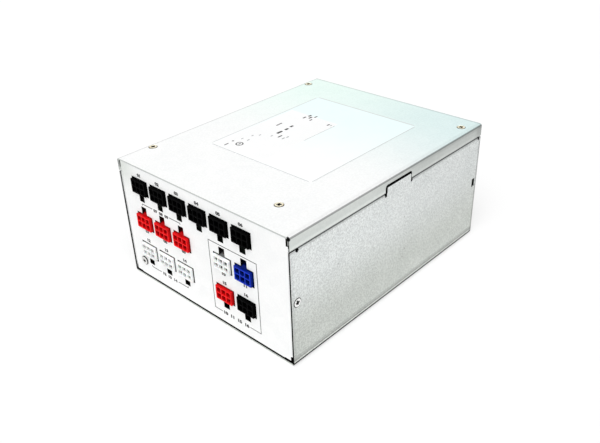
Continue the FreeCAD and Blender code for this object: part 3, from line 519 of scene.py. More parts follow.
@dataclass(frozen=True)
class CoverSheet(PlatedSheet):
    """The cover, with painted light and shade: near white in front, tinted to the rear, with grey
    flanges and shaded folds.

    Attributes:
        lit_front_colour: Painted light: colour of the bright front end.
        shaded_flange_colour: Colour of the turned-down flanges, painted darker than the top as
            shade.
        hem_highlight: Painted highlight: how much lighter the flanges are at their lower edge.
        far_shade_tint: Painted shade: how the rear end darkens towards the right.
    """

    lit_front_colour: Rgb = (0.945, 0.95, 0.945)
    shaded_flange_colour: Rgb = (0.67, 0.70, 0.675)
    hem_highlight: float = 1.16
    far_shade_tint: Rgb = (0.85, 0.875, 0.92)

    def _ground(self, shade: Shade) -> Socket:
        """Painted light and shade: a slow change along the top, and grey flanges a little lighter
        at their lower edge.

        Args:
            shade: The material under construction.

        Returns:
            The colour under the grain.
        """
        y, z = shade.y, shade.z
        # Painted light: the top turns near white towards the front; painted shade darkens the rear
        # towards the right.
        far = shade.tint(self.colour, ((shade.x, -65, 75), self.far_shade_tint))
        top = shade.blend((y, 85, -30), far, self.lit_front_colour)
        # Painted highlight: the flanges turn lighter towards their lower edge.
        hem_highlight_colour = scaled(self.shaded_flange_colour, self.hem_highlight)
        side = shade.blend((z, 80.5, 78.5), self.shaded_flange_colour, hem_highlight_colour)
        # Painted shade: the flanges darken towards the rear, the upper rear and the rear end.
        upper_rear = shade.both((z, 82.0, 84.5), (y, -30, 50))
        side = shade.tint(side, ((y, -60, 60), 0.78), (upper_rear, 0.80), ((y, 84, 94), 0.76))
        # Painted light and shade: faces that look up take the top's colours, the others the grey
        # flange colours.
        return shade.blend(shade.span(shade.facing_z, 0.35, 0.75), side, top)

    def _edges(self, shade: Shade, tone: Socket) -> tuple[Socket, Socket]:
        """Painted shade: grey folds along the sides, and near black cut edges at the flanges' ends
        and round the tabs.

        Args:
            shade: The material under construction.
            tone: Colour with its grain.

        Returns:
            The colour with its painted shade, and a mask of the painted shade that stays dark.
        """
        x, y, z = shade.x, shade.y, shade.z
        flat, front = shade.faces(shade.facing_z), shade.faces(shade.facing_y, -1)
        # Painted shade: grey lines on the folds, the flanges' lower edge and the edges of the top.
        fold = shade.both(shade.span(shade.facing_x, 0.615, 0.66),
                          shade.span(shade.facing_x, 0.99, 0.945))
        right_edge = shade.both(flat, (x, 71.0, 73.5))
        left_edge = shade.both(flat, (x, -72.2, -73.6))
        rear_edge = shade.both(flat, (y, 93.0, 94.2))
        front_edge = shade.both(front, (y, -94.0, -94.5))
        tone = shade.tint(tone, (fold, 0.42), ((z, 78.2, 77.8), 0.72), (right_edge, 0.90),
                          (left_edge, 0.66), (rear_edge, 0.74), (front_edge, 0.84))
        # Painted shade, near black: cut edges on the flanges round the tabs, at the front corner
        # and at the ends.
        patches = shade.either((z, 83.6, 84.0), shade.strip(z, 79.6, 81.1, 0.3))
        right = shade.both(patches, (x, 73.7, 74.1))
        flange = shade.either(right, (x, 74.3, 74.5), (x, -74.2, -74.5, 0.0, 0.6))
        corner = shade.both((y, -93.8, -94.3), (x, 73.0, 73.7), (z, 83.8, 84.3))
        ends = shade.faces(shade.unsigned(shade.facing_y))
        ends = shade.both(ends, (shade.unsigned(y), 94.0, 93.0))
        return tone, shade.either(shade.both(front, flange), corner, ends)


@dataclass(frozen=True)
class FrontSheet(PlatedSheet):
    """The front panel: near white, greyer in one corner by a painted reflection, with painted
    shade on cut edges and folds.

    Attributes:
        corner_reflection_tint: Painted reflection: how the upper left corner darkens.
    """

    corner_reflection_tint: Rgb = (0.76, 0.79, 0.75)

    def _ground(self, shade: Shade) -> Socket:
        """Painted reflection: grey a little towards the upper left corner."""
        corner = shade.both((shade.x, -50, -74), (shade.z, 58, 82))
        return shade.tint(self.colour, (corner, self.corner_reflection_tint))

    def _edges(self, shade: Shade, tone: Socket) -> tuple[Socket, Socket]:
        """Painted shade: darken the walls of the cut-outs and the lower fold.

        Args:
            shade: The material under construction.
            tone: Colour with its grain.

        Returns:
            The colour, and a mask of the painted shade that stays dark.
        """
        # Painted shade, near black, on the sideways, upward and downward faces of the cut-outs and
        # folds.
        upright = shade.both(shade.span(shade.unsigned(shade.facing_x), 0.80, 0.95),
                             (shade.unsigned(shade.x), 73.0, 72.6))
        fold = shade.span(shade.facing_z, -0.25, -0.5)
        return tone, shade.either(upright, shade.faces(shade.facing_z), fold)


@dataclass(frozen=True)
class MouldedPlastic(Finish):
    """Moulded plastic: slight colour clouding, satin grain and rubbed patches.

    Attributes:
        grain, depth: Size and depth of the moulded grain.
        glow, glow_depth: Share of light that passes into the plastic, and how deep it goes.
        shine: Strength of its mirror reflection.
        side: Tone of what does not face forward, painted shade below 1 and painted light above it;
            1 for no difference.
        deep: Painted shade: tone of what lies behind the front panel's face, 1 for no difference.
    """

    grain: float = 0.35
    depth: float = 0.02
    glow: float = 0.0
    glow_depth: float = 0.6
    shine: float = 0.5
    side: float = 1.0
    deep: float = 1.0

    def _dress(self, shade: Shade) -> None:
        """Lay clouding and grain, and paint light and shade on the sides and shade on what lies
        deep.

        Args:
            shade: The material under construction.
        """
        cloud = shade.noise(6.0)
        dull, clear = scaled(self.colour, 0.84), scaled(self.colour, 1.10)
        tone = shade.blend(shade.span(cloud, 0.3, 0.7), dull, clear)
        # Painted light and shade on the sides, and painted shade behind the panel's face.
        if self.side != 1.0:
            tone = shade.tint(tone, (shade.span(shade.facing_y, -0.85, -0.5), self.side))
        if self.deep != 1.0:
            tone = shade.tint(tone, ((shade.y, -95.2, -94.7), self.deep))
        rough = shade.span(cloud, 0.25, 0.75, self.roughness - 0.07, self.roughness + 0.09)
        shade.feed(Base_Color=tone, Roughness=rough, Specular_IOR_Level=self.shine)
        shade.relief(shade.noise(self.grain, detail=2.0, rough=0.6), 0.25, self.depth)
        if self.glow:
            shade.feed(Subsurface_Weight=self.glow, Subsurface_Scale=self.glow_depth * MM)


@dataclass(frozen=True)
class TurnedMetal(Finish):
    """Plated or ground metal of screws, pins, wire and shafts, with a tarnish in patches.

    Attributes:
        tarnish, patch: Colour and size of the patches.
        recess: Axis that a screw's head faces, its sign and the level under which the head is
            dark, or none.
        recess_edge, recess_shade_tone: Height over which the painted shade sets in, and what is
            left of the colour.
    """

    roughness: float = 0.32
    metallic: float = 1.0
    tarnish: Rgb = (0.45, 0.45, 0.44)
    patch: float = 2.2
    recess: tuple[Axis, int, float] | None = None
    recess_edge: float = 0.04
    recess_shade_tone: float = 0.03

    def _dress(self, shade: Shade) -> None:
        """Lay the tarnish and a fine grain, and paint shade into a screw's recess and under its
        head.

        Args:
            shade: The material under construction.
        """
        patch = shade.noise(self.patch, detail=4.0, rough=0.6)
        tone = shade.blend(shade.span(patch, 0.42, 0.72), self.colour, self.tarnish)
        rough = shade.span(patch, 0.3, 0.75, self.roughness - 0.06, self.roughness + 0.14)
        # Painted shade: below the level the head goes near black and fully rough.
        if self.recess:
            axis, sign, level = self.recess
            along = shade.y if axis is Axis.Y else shade.z
            if axis is Axis.X:
                along = shade.unsigned(shade.x)
            deep = shade.ramp(along, level + sign * self.recess_edge, level)
            tone = shade.tint(tone, (deep, self.recess_shade_tone))
            rough = shade.either(rough, deep)
        shade.feed(Base_Color=tone, Roughness=rough)
        shade.relief(shade.noise(0.25, detail=2.0, rough=0.6), 0.15, 0.01)


@dataclass(frozen=True)
class LabelPaper(Finish):
    """Coated label paper: fine fibre and a slight clouding, its base colour at the rear and
    painted light towards the front.

    Attributes:
        lit_front_colour: Painted light: colour at the front.
        outline: Low X, high X, low Y and high Y of a grey outline, or none.
        outline_colour, outline_edge: Its colour and soft edge.
    """

    lit_front_colour: Rgb = (0.93, 0.945, 0.94)
    outline: Box | None = None
    outline_colour: Rgb = (0.58, 0.60, 0.60)
    outline_edge: float = 0.2

    def _dress(self, shade: Shade) -> None:
        """Lay the painted light towards the front, clouding, fibre and outline.

        Args:
            shade: The material under construction.
        """
        fibre = shade.noise(0.6, rough=0.7, stretch=(1, 0.4, 1))
        cloud = shade.noise(25.0)
        # Painted light: the label turns paler towards the front.
        tone = shade.blend((shade.y, 60, -35), self.colour, self.lit_front_colour)
        tone = shade.tint(tone, (shade.span(cloud, 0.3, 0.7, 0.0, 0.6), (0.965, 0.97, 0.97)),
                          (shade.span(fibre, 0.35, 0.65, 0.0, 0.5), (0.96, 0.965, 0.965)))
        if self.outline:
            left, right, low, high = self.outline
            inside = shade.both(shade.strip(shade.x, left, right, self.outline_edge),
                                shade.strip(shade.y, low, high, self.outline_edge))
            tone = shade.blend(inside, self.outline_colour, tone)
        shade.feed(Base_Color=tone, Roughness=shade.span(cloud, 0.3, 0.7, 0.42, 0.56))
        shade.relief(fibre, 0.12, 0.02)


@dataclass(frozen=True)
class PrintInk(Finish):
    """Screen-printed ink, slightly uneven.

    Attributes:
        thin: Colour where it is thin.
    """

    thin: Rgb = (0.07, 0.07, 0.07)

    def _dress(self, shade: Shade) -> None:
        """Lay the thin patches.

        Args:
            shade: The material under construction.
        """
        patch = shade.noise(0.9, detail=4.0, rough=0.65)
        tone = shade.blend(shade.span(patch, 0.45, 0.75), self.colour, self.thin)
        shade.feed(Base_Color=tone, Roughness=shade.span(patch, 0.3, 0.7, 0.48, 0.64))


@dataclass(frozen=True)
class CircuitBoard(Finish):
    """Circuit board: dark solder mask over copper tracks, with a woven core.

    Attributes:
        track: Colour over the copper.
    """

    track: Rgb = (0.012, 0.05, 0.024)

    def _dress(self, shade: Shade) -> None:
        """Lay the tracks and the weave.

        Args:
            shade: The material under construction.
        """
        near, even = shade.cells(5.0)
        weave = shade.noise(0.5, detail=1.0, rough=0.5)
        tracks = shade.combine(Sum.ADD, even, shade.combine(Sum.TIMES, near, 0.4))
        mask = shade.span(tracks, 0.5, 0.56)
        shade.feed(Base_Color=shade.blend(mask, self.colour, self.track),
                   Roughness=shade.span(weave, 0.3, 0.7, 0.34, 0.5))
        shade.relief(shade.combine(Sum.ADD, mask, weave), 0.2, 0.04)


@dataclass(frozen=True)
class WoundWire(Finish):
    """Enamelled wire or taped winding: fine ridges along one axis, with painted shade between
    them.

    Attributes:
        groove_shade_and_patch: Painted shade between the ridges; the same colour also darkens
            random patches.
        stretch: Scale of the ridges by axis.
    """

    groove_shade_and_patch: Rgb = (0.16, 0.05, 0.015)
    stretch: Spot = (1.0, 1.0, 0.15)

    def _dress(self, shade: Shade) -> None:
        """Lay the ridges with painted shade between them, and a slight clouding.

        Args:
            shade: The material under construction.
        """
        ridge = shade.noise(0.9, detail=1.0, rough=0.4, stretch=self.stretch)
        patch = shade.noise(5.0)
        # Painted shade between the ridges; below, the same dark colour clouds random patches.
        tone = shade.blend(shade.span(ridge, 0.42, 0.60), self.groove_shade_and_patch, self.colour)
        tone = shade.blend(shade.span(patch, 0.4, 0.8, 0.0, 0.4), tone, self.groove_shade_and_patch)
        rough = shade.span(patch, 0.3, 0.7, self.roughness - 0.06, self.roughness + 0.12)
        shade.feed(Base_Color=tone, Roughness=rough)
        shade.relief(ridge, 0.4, 0.2)


class SocketTint(Enum):
    """Colours of the output sockets, by the record's slot names."""

    BLACK = "socket_black"
    RED = "socket_red"
    NATURAL = "socket_natural"
    BLUE = "socket_blue"


class Finishes:
    """Every finish on the part, each made once and kept by name."""

    # Left, right, front and rear inset of the label's outline.
    LABEL_INSETS = (0.8, 0.6, 0.6, 1.1)

    def __init__(self) -> None:
        """Make all materials."""
        low, high = (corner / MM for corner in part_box("rating_label"))
        left, right, front, rear = self.LABEL_INSETS
        rim = (low.x + left, high.x - right, low.y + front, high.y - rear)
        bright = (0.80, 0.80, 0.78)
        made = (
            CaseSheet("case_steel", (0.87, 0.90, 0.89), grain=0.30, fleck=1.1, specks=13.0),
            CoverSheet("cover_steel", (0.82, 0.955, 0.90), grain=0.06),
            FrontSheet("front_steel", (0.925, 0.93, 0.925), metallic=0.15, grain=0.03),
            PlatedSheet("heat_sink", (0.62, 0.63, 0.64), metallic=0.9),
            LabelPaper("label_paper", (0.80, 0.925, 0.92), outline=rim),
            LabelPaper("label_patch", (0.91, 0.91, 0.91), lit_front_colour=(0.91, 0.91, 0.91)),
            TurnedMetal("yellow_screw", (0.93, 0.88, 0.70), tarnish=(0.62, 0.52, 0.32),
                        recess=(Axis.Z, 1, 85.95)),
            TurnedMetal("side_screw", (0.94, 0.94, 0.93), tarnish=(0.66, 0.66, 0.65),
                        recess=(Axis.X, 1, 74.95)),
            TurnedMetal("panel_screw", (0.82, 0.82, 0.80), tarnish=(0.5, 0.5, 0.49),
                        recess=(Axis.Y, -1, -95.48)),
            TurnedMetal("fan_screw", bright, recess=(Axis.Y, 1, 97.35)),
            TurnedMetal("inlet_screw", bright, recess=(Axis.Y, 1, 97.05)),
            TurnedMetal("base_screw", bright, recess=(Axis.Z, -1, 0.12)),
            TurnedMetal("plain_screw", bright),
            TurnedMetal("contact_metal", (0.74, 0.66, 0.46), tarnish=(0.45, 0.38, 0.24)),
            TurnedMetal("copper", (0.72, 0.36, 0.20), 0.36, tarnish=(0.36, 0.16, 0.09), patch=4.0),
            TurnedMetal("shaft_steel", (0.66, 0.66, 0.68), 0.22, tarnish=(0.4, 0.4, 0.41)),
            TurnedMetal("bronze", (0.52, 0.34, 0.16), 0.42, tarnish=(0.28, 0.17, 0.07), patch=0.8),
            TurnedMetal("guard_wire", (0.82, 0.82, 0.82), 0.2, tarnish=(0.55, 0.55, 0.55),
                        patch=6.0),
            # The sockets' side and deep values paint shade on their sides and behind the panel,
            # and light on the natural sockets' sides.
            MouldedPlastic("socket_black", (0.0018, 0.0018, 0.002), 0.5, shine=0.012, side=0.5),
            MouldedPlastic("socket_red", (0.85, 0.004, 0.006), 0.42, shine=0.08, side=0.68,
                           deep=0.55),
            MouldedPlastic("socket_natural", (0.88, 0.90, 0.89), 0.34, glow=0.08, side=1.08,
                           deep=0.10),
            MouldedPlastic("socket_blue", (0.002, 0.029, 0.48), 0.42, shine=0.08, side=0.38,
                           deep=0.33),
            MouldedPlastic("film", (0.72, 0.70, 0.58), 0.3),
            MouldedPlastic("device", (0.02, 0.02, 0.02), 0.55),
            MouldedPlastic("capacitor", (0.018, 0.022, 0.045), 0.3),
            MouldedPlastic("box_capacitor", (0.62, 0.46, 0.08), 0.45),
            MouldedPlastic("ferrite", (0.035, 0.036, 0.038), 0.6, grain=0.8, depth=0.05),
            MouldedPlastic("inlet_plastic", (0.016, 0.016, 0.017), 0.46),
            MouldedPlastic("lead", (0.03, 0.03, 0.03), 0.5),
            MouldedPlastic("fan_plastic", (0.018, 0.018, 0.019), 0.44, grain=0.5),
            CircuitBoard("board", (0.006, 0.022, 0.012)),
            WoundWire("winding", (0.52, 0.22, 0.07), metallic=0.7),
            WoundWire("tape", (0.66, 0.50, 0.08), groove_shade_and_patch=(0.40, 0.28, 0.04),
                      stretch=(0.15, 0.15, 1.0)),
            PrintInk("ink", (0.012, 0.012, 0.013), 0.55),
            PrintInk("line_ink", (0.025, 0.025, 0.025), 0.55, thin=(0.10, 0.10, 0.10)),
            PrintInk("grey_ink", (0.30, 0.32, 0.32), 0.55, thin=(0.48, 0.50, 0.50)),
        )
        self._materials = {finish.name: finish.make() for finish in made}

    def __getitem__(self, name: str) -> Material:
        """A material by its name."""
        return self._materials[name]


def settled(name: str, mesh: BMesh) -> Mesh:
    """Turn a finished bmesh into mesh data and free it.

    Args:
        name: The data's name.
        mesh: The bmesh.

    Returns:
        The mesh data.
    """
    data = bpy.data.meshes.new(name)
    mesh.to_mesh(data)
    mesh.free()
    return data


def placed(name: str, data: ID) -> Object:
    """Link a new object into the scene.

    Args:
        name: The object's name.
        data: What it shows.

    Returns:
        The object.
    """
    obj = bpy.data.objects.new(name, data)
    bpy.context.scene.collection.objects.link(obj)
    return obj


def join(target: BMesh, data: Mesh) -> None:
    """Add mesh data to a bmesh and remove the data."""
    target.from_mesh(data)
    bpy.data.meshes.remove(data)


def only(kind: type, geom: Iterable) -> list:
    """What is of one kind in an operator's result."""
    return [g for g in geom if isinstance(g, kind)]


def cut_through(mesh: BMesh, spot: Vector, normal: Spot) -> None:
    """Cut a whole mesh along a plane through a spot in millimetres."""
    geom = [*mesh.verts, *mesh.edges, *mesh.faces]
    bmesh.ops.bisect_plane(mesh, geom=geom, plane_co=spot * MM, plane_no=normal)


def box_into(mesh: BMesh, low: Sequence[float], high: Sequence[float]) -> list[BMVert]:
    """Add a box between two corners given in millimetres.

    Args:
        mesh: The bmesh that gets it.
        low: Lowest corner.
        high: Highest corner.

    Returns:
        The box's vertices.
    """
    size = [(b - a) * MM for a, b in zip(low, high)]
    middle = [(a + b) / 2 * MM for a, b in zip(low, high)]
    place = Matrix.Translation(middle) @ Matrix.Diagonal((*size, 1.0))
    return bmesh.ops.create_cube(mesh, size=1.0, matrix=place)["verts"]


def soften(mesh: BMesh, edges: Iterable[BMEdge], width: float, steps: int = 2) -> None:
    """Round some edges, the width in millimetres."""
    bmesh.ops.bevel(mesh, geom=list(edges), offset=width * MM, affect="EDGES", segments=steps,
                    profile=0.5, material=-1)


class Workshop:
    """Turns finished meshes into pieces that ride on the case."""

    def __init__(self, finishes: Finishes) -> None:
        """Keep the finishes that pieces are dressed in."""
        self.finishes = finishes

    def piece(self, name: str, mesh: BMesh, finish: str, slot: str,
              stands_for: str | None = None) -> None:
        """Make a piece from a finished bmesh, which is freed.

        Args:
            name: The piece's name.
            mesh: Its shape, in metres and in place.
            finish: Name of its finish.
            slot: The record's material slot; not used.
            stands_for: CAD node that it replaces, or none.
        """
        data = settled(name, mesh)
        obj = placed(name, data)
        data.materials.append(self.finishes[finish])
        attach(obj, CASE_BODY)
        if stands_for:
            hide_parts(stands_for)
        log.info("piece %s: %d faces", name, len(data.polygons))


@dataclass
class SocketField:
    """The output sockets, each a bevelled moulding with cells and a latch ramp.

    Attributes:
        width, height, depth: Size of a socket.
        columns, rows: Number of cells across and up.
        pitch, cell, cell_depth: Distance, width and depth of the cells.
        chamfer: Cut corners of every other cell.
        fill_root, fill_back: Reach of a corner's fill into the walls and its set-back, in lips.
        rim, lip: Rounding of the outer rim and of the cells' rims.
        ramp_base, ramp_top, ramp_rise: The latch ramp's width at the socket and tip, and height.
        ramp_start: Where the ramp starts behind the mouth.
        ramp_slope, ramp_length: Length of its slope and of the whole ramp.
        ramp_round: Rounding of its edges.
        latch_up: Sockets whose latch ramp is on top.
        tints: Colours of the sockets that aren't black.
    """

    shop: Workshop
    width: float = 13.8
    height: float = 9.6
    depth: float = 11.6
    columns: int = 3
    rows: int = 2
    pitch: float = 4.2
    cell: float = 3.3
    cell_depth: float = 9.4
    chamfer: float = 0.8
    fill_root: float = 1.6
    fill_back: float = 0.3
    rim: float = 0.3
    lip: float = 0.14
    ramp_base: float = 5.4
    ramp_top: float = 3.4
    ramp_rise: float = 1.4
    ramp_start: float = 1.6
    ramp_slope: float = 1.6
    ramp_length: float = 4.6
    ramp_round: float = 0.2
    latch_up: frozenset[int] = frozenset(range(7, 12))
    tints: dict[int, SocketTint] = field(default_factory=lambda: {
        **dict.fromkeys((7, 8, 9, 15), SocketTint.RED), 11: SocketTint.BLUE,
        **dict.fromkeys((10, 12, 13, 14), SocketTint.NATURAL)})

    @staticmethod
    def node(index: int) -> str:
        """Name of a socket's CAD node."""
        return f"socket_{index:02d}"

    def centre(self, index: int) -> Vector:
        """Middle of a socket's mouth.

        Args:
            index: The socket's number.

        Returns:
            The spot in metres.
        """
        low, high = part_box(self.node(index))
        half = self.height / 2 * MM
        z = low.z + half if index in self.latch_up else high.z - half
        return Vector(((low.x + high.x) / 2, low.y, z))

    def cell_spots(self) -> list[tuple[float, float, bool]]:
        """Where a socket's cells are.

        Returns:
            X and Z of each cell's centre, and whether its upper corners are cut.
        """
        left, low = ((1 - count) / 2 for count in (self.columns, self.rows))
        return [((left + i) * self.pitch, (low + k) * self.pitch, (i + k) % 2 == 1)
                for i in range(self.columns) for k in range(self.rows)]

    def mould(self) -> BMesh:
        """One socket with its mouth on the XZ plane and its latch ramp below.

        Returns:
            The socket's bmesh.
        """
        mesh = bmesh.new()
        turn = Matrix.Rotation(math.radians(90), 4, "X")
        bmesh.ops.create_grid(mesh, x_segments=1, y_segments=1, size=0.5, matrix=turn)
        bmesh.ops.scale(mesh, vec=(self.width * MM, 1, self.height * MM), verts=mesh.verts)
        for place, normal in enumerate(((1, 0, 0), (0, 0, 1))):
            for middle in sorted({spot[place] for spot in self.cell_spots()}):
                for side in (-self.cell / 2, self.cell / 2):
                    cut_through(mesh, Vector(normal) * (middle + side), normal)
        mouths = [self._face_at(mesh, x, z) for x, z, _ in self.cell_spots()]
        self._back(mesh)
        self._cells(mesh, mouths)
        self._ramp(mesh)
        bmesh.ops.recalc_face_normals(mesh, faces=mesh.faces)
        return mesh

    @staticmethod
    def _face_at(mesh: BMesh, x: float, z: float) -> BMFace:
        """The front face whose centre is at a spot in millimetres."""
        spot = Vector((x * MM, 0, z * MM))
        return min(mesh.faces, key=lambda f: (f.calc_center_median() - spot).length)

    def _back(self, mesh: BMesh) -> None:
        """Pull the outline back to the socket's depth, close it and round its edges.

        Args:
            mesh: The flat front.
        """
        border = [e for e in mesh.edges if e.is_boundary]
        made = bmesh.ops.extrude_edge_only(mesh, edges=border)["geom"]
        bmesh.ops.translate(mesh, verts=only(BMVert, made), vec=(0, self.depth * MM, 0))
        rear = [e for e in only(BMEdge, made) if len(e.link_faces) == 1]
        bmesh.ops.contextual_create(mesh, geom=rear)
        bmesh.ops.recalc_face_normals(mesh, faces=mesh.faces)
        wide, tall = self.width / 2 * MM, self.height / 2 * MM
        corners = [e for e in mesh.edges if all(
            abs(abs(v.co.x) - wide) < NO_DISTANCE and abs(abs(v.co.z) - tall) < NO_DISTANCE
            for v in e.verts)]
        soften(mesh, [*corners, *border], self.rim)

    def _cells(self, mesh: BMesh, mouths: list[BMFace]) -> None:
        """Sink the cells, round their rims and fill the corners of every other one.

        Args:
            mesh: The closed socket.
            mouths: The cells' faces in front.
        """
        sunk = bmesh.ops.extrude_discrete_faces(mesh, faces=mouths)["faces"]
        inner = [v for f in sunk for v in f.verts]
        bmesh.ops.translate(mesh, verts=inner, vec=(0, self.cell_depth * MM, 0))
        wide, tall = ((side / 2 - 2 * self.rim) * MM for side in (self.width, self.height))
        front = {v for v in mesh.verts if abs(v.co.y) < NO_DISTANCE
                 and abs(v.co.x) < wide and abs(v.co.z) < tall}
        rims = [e for e in mesh.edges if front.issuperset(e.verts)
                and sum(abs(f.normal.y) > FRONTAL for f in e.link_faces) == 1]
        soften(mesh, rims, self.lip, 1)
        for x, z, cut in self.cell_spots():
            for side in (-1, 1) if cut else ():
                self._corner_fill(mesh, x, z, side)

    def _corner_fill(self, mesh: BMesh, x: float, z: float, side: int) -> None:
        """Fill one upper corner of a cell with a three-sided bar that reaches into the walls.

        Args:
            mesh: The socket.
            x: Middle of the cell.
            z: Middle of its height.
            side: -1 for the left corner, 1 for the right one.
        """
        root = self.lip * self.fill_root
        reach = self.cell / 2 + root
        inner = self.cell / 2 - self.chamfer - root
        verts = [mesh.verts.new(Vector((x + side * a, self.lip * self.fill_back, z + b)) * MM)
                 for a, b in ((inner, reach), (reach, inner), (reach, reach))]
        made = bmesh.ops.extrude_face_region(mesh, geom=[mesh.faces.new(verts)])["geom"]
        bmesh.ops.translate(mesh, verts=only(BMVert, made), vec=(0, self.cell_depth * MM, 0))

    def _ramp(self, mesh: BMesh) -> None:
        """Add the latch ramp under the socket.

        Args:
            mesh: The socket.
        """
        floor = -self.height / 2
        low = (-self.ramp_base / 2, self.ramp_start, floor - self.ramp_rise)
        high = (self.ramp_base / 2, self.ramp_start + self.ramp_length, floor + self.rim)
        tip = [v for v in box_into(mesh, low, high) if v.co.z < floor * MM]
        bmesh.ops.scale(mesh, verts=tip, vec=(self.ramp_top / self.ramp_base, 1, 1))
        lead = [v for v in tip if v.co.y < (self.ramp_start + self.ramp_slope) * MM]
        bmesh.ops.translate(mesh, verts=lead, vec=(0, self.ramp_slope * MM, 0))
        soften(mesh, {e for v in tip for e in v.link_edges}, self.ramp_round)

    def build(self) -> None:
        """Place a moulding for every socket node."""
        for index in SOCKET_NUMBERS:
            mesh = self.mould()
            if index in self.latch_up:
                over = Matrix.Rotation(math.pi, 3, "Y")
                bmesh.ops.rotate(mesh, verts=mesh.verts, matrix=over)
            bmesh.ops.translate(mesh, verts=mesh.verts, vec=self.centre(index))
            tint = self.tints.get(index, SocketTint.BLACK).value
            self.shop.piece(f"output_socket_{index:02d}", mesh, tint, tint, self.node(index))


@dataclass(frozen=True)
class ScrewSet:
    """Screws of one node, with finer heads than the solids have.

    Attributes:
        node, finish, slot: The CAD node, its finish and the record's material slot.
        profile: Radius and height along the head, from its flat top's edge to the shank's end.
        facing, spots, turns: Each head's direction, middle and turn of its cross in degrees.
    """

    node: str
    finish: str
    slot: str
    profile: tuple[tuple[float, float], ...]
    facing: tuple[Spot, ...]
    spots: tuple[Spot, ...]
    turns: tuple[float, ...]


SHANK_RADIUS = 1.45
SHANK_END = (SHANK_RADIUS, -3.8)
FLAT_HEAD = ((2.5, 0.0), (2.62, -0.05), (2.77, -0.13), (2.91, -0.27),
             (SHANK_RADIUS, -1.2), SHANK_END)
DOMED_HEAD = ((2.1, 0.9), (2.6, 0.83), (2.95, 0.68), (3.14, 0.45), (3.2, 0.2), (3.2, 0.0),
              (SHANK_RADIUS, 0.0), SHANK_END)


@dataclass
class Screws:
    """Screws that show in front, each with a broken rim and a tapered cross recess.

    Attributes:
        arm, arm_width, sink: Length, width and depth of the cross.
        taper: Share of the cross's outline that is left at its floor.
        steps: Sides of a head.
        sets: The screws, node by node.
    """

    shop: Workshop
    arm: float = 3.0
    arm_width: float = 1.25
    sink: float = 0.8
    taper: float = 0.75
    steps: int = 40
    sets: tuple[ScrewSet, ...] = (
        ScrewSet("cover_screws", "yellow_screw", "yellow_screw", FLAT_HEAD, ((0, 0, 1),) * 4,
                 ((-70.6, 81.4, 86.0), (67.1, 81.4, 86.0),
                  (-70.6, -70.0, 86.0), (46.6, -72.8, 86.0)),
                 (20.0, 52.0, 8.0, 35.0)),
        ScrewSet("side_screws", "side_screw", "plain_screw", FLAT_HEAD, ((-1, 0, 0), (1, 0, 0)),
                 ((-75.0, -90.3, 42.6), (75.0, -90.3, 42.6)), (30.0, 12.0)),
        ScrewSet("panel_screw", "panel_screw", "plain_screw", DOMED_HEAD, ((0, -1, 0),),
                 ((-62.4, -94.8, 13.3),), (15.0,)))

    def _top(self, radius: float, height: float) -> BMesh:
        """A head's flat top with its cross recess.

        Args:
            radius: Radius of the top in millimetres.
            height: Its height.

        Returns:
            The open top.
        """
        mesh = bmesh.new()
        bmesh.ops.create_circle(mesh, cap_ends=True, radius=radius * MM, segments=self.steps,
                                matrix=Matrix.Translation((0, 0, height * MM)))
        half, reach = self.arm_width / 2, self.arm / 2
        for offset in (-reach, -half, half, reach):
            for normal in ((1, 0, 0), (0, 1, 0)):
                cut_through(mesh, Vector(normal) * offset, normal)
        cross = [f for f in mesh.faces if self._in_cross(f.calc_center_median() / MM)]
        floor = only(BMVert, bmesh.ops.extrude_face_region(mesh, geom=cross)["geom"])
        bmesh.ops.translate(mesh, verts=floor, vec=(0, 0, -self.sink * MM))
        bmesh.ops.scale(mesh, verts=floor, vec=(self.taper, self.taper, 1))
        bmesh.ops.delete(mesh, geom=[f for f in cross if f.is_valid], context="FACES")
        return mesh

    def _in_cross(self, spot: Vector) -> bool:
        """Whether a spot of a head's top, in millimetres, lies in the cross."""
        near, far = sorted((abs(spot.x), abs(spot.y)))
        return near < self.arm_width / 2 and far < self.arm / 2

    def _screw(self, profile: Sequence[Sequence[float]]) -> BMesh:
        """One screw on the Z axis.

        Args:
            profile: Radius and height along the head and shank.

        Returns:
            The closed screw.
        """
        mesh = self._top(*profile[0])
        border = [e for e in mesh.edges if e.is_boundary]
        for (wide, high), (radius, height) in zip(profile, profile[1:]):
            made = bmesh.ops.extrude_edge_only(mesh, edges=border)["geom"]
            verts = only(BMVert, made)
            bmesh.ops.scale(mesh, verts=verts, vec=(radius / wide, radius / wide, 1))
            bmesh.ops.translate(mesh, verts=verts, vec=(0, 0, (height - high) * MM))
            border = [e for e in only(BMEdge, made) if e.is_boundary]
            for face in (f for v in verts for f in v.link_faces):
                face.smooth = True
        bmesh.ops.contextual_create(mesh, geom=border)
        bmesh.ops.recalc_face_normals(mesh, faces=mesh.faces)
        return mesh

    def build(self) -> None:
        """Place every screw of every set."""
        for group in self.sets:
            joined = bmesh.new()
            for spot, facing, turn in zip(group.spots, group.facing, group.turns):
                screw = self._screw(group.profile)
                aim = Vector(facing).to_track_quat("Z", "Y").to_matrix().to_4x4()
                place = Matrix.Translation(Vector(spot) * MM) @ aim
                turned = place @ Matrix.Rotation(math.radians(turn), 4, "Z")
                bmesh.ops.transform(screw, verts=screw.verts, matrix=turned)
                join(joined, settled("screw", screw))
            self.shop.piece(f"{group.node}_fine", joined, group.finish, group.slot, group.node)


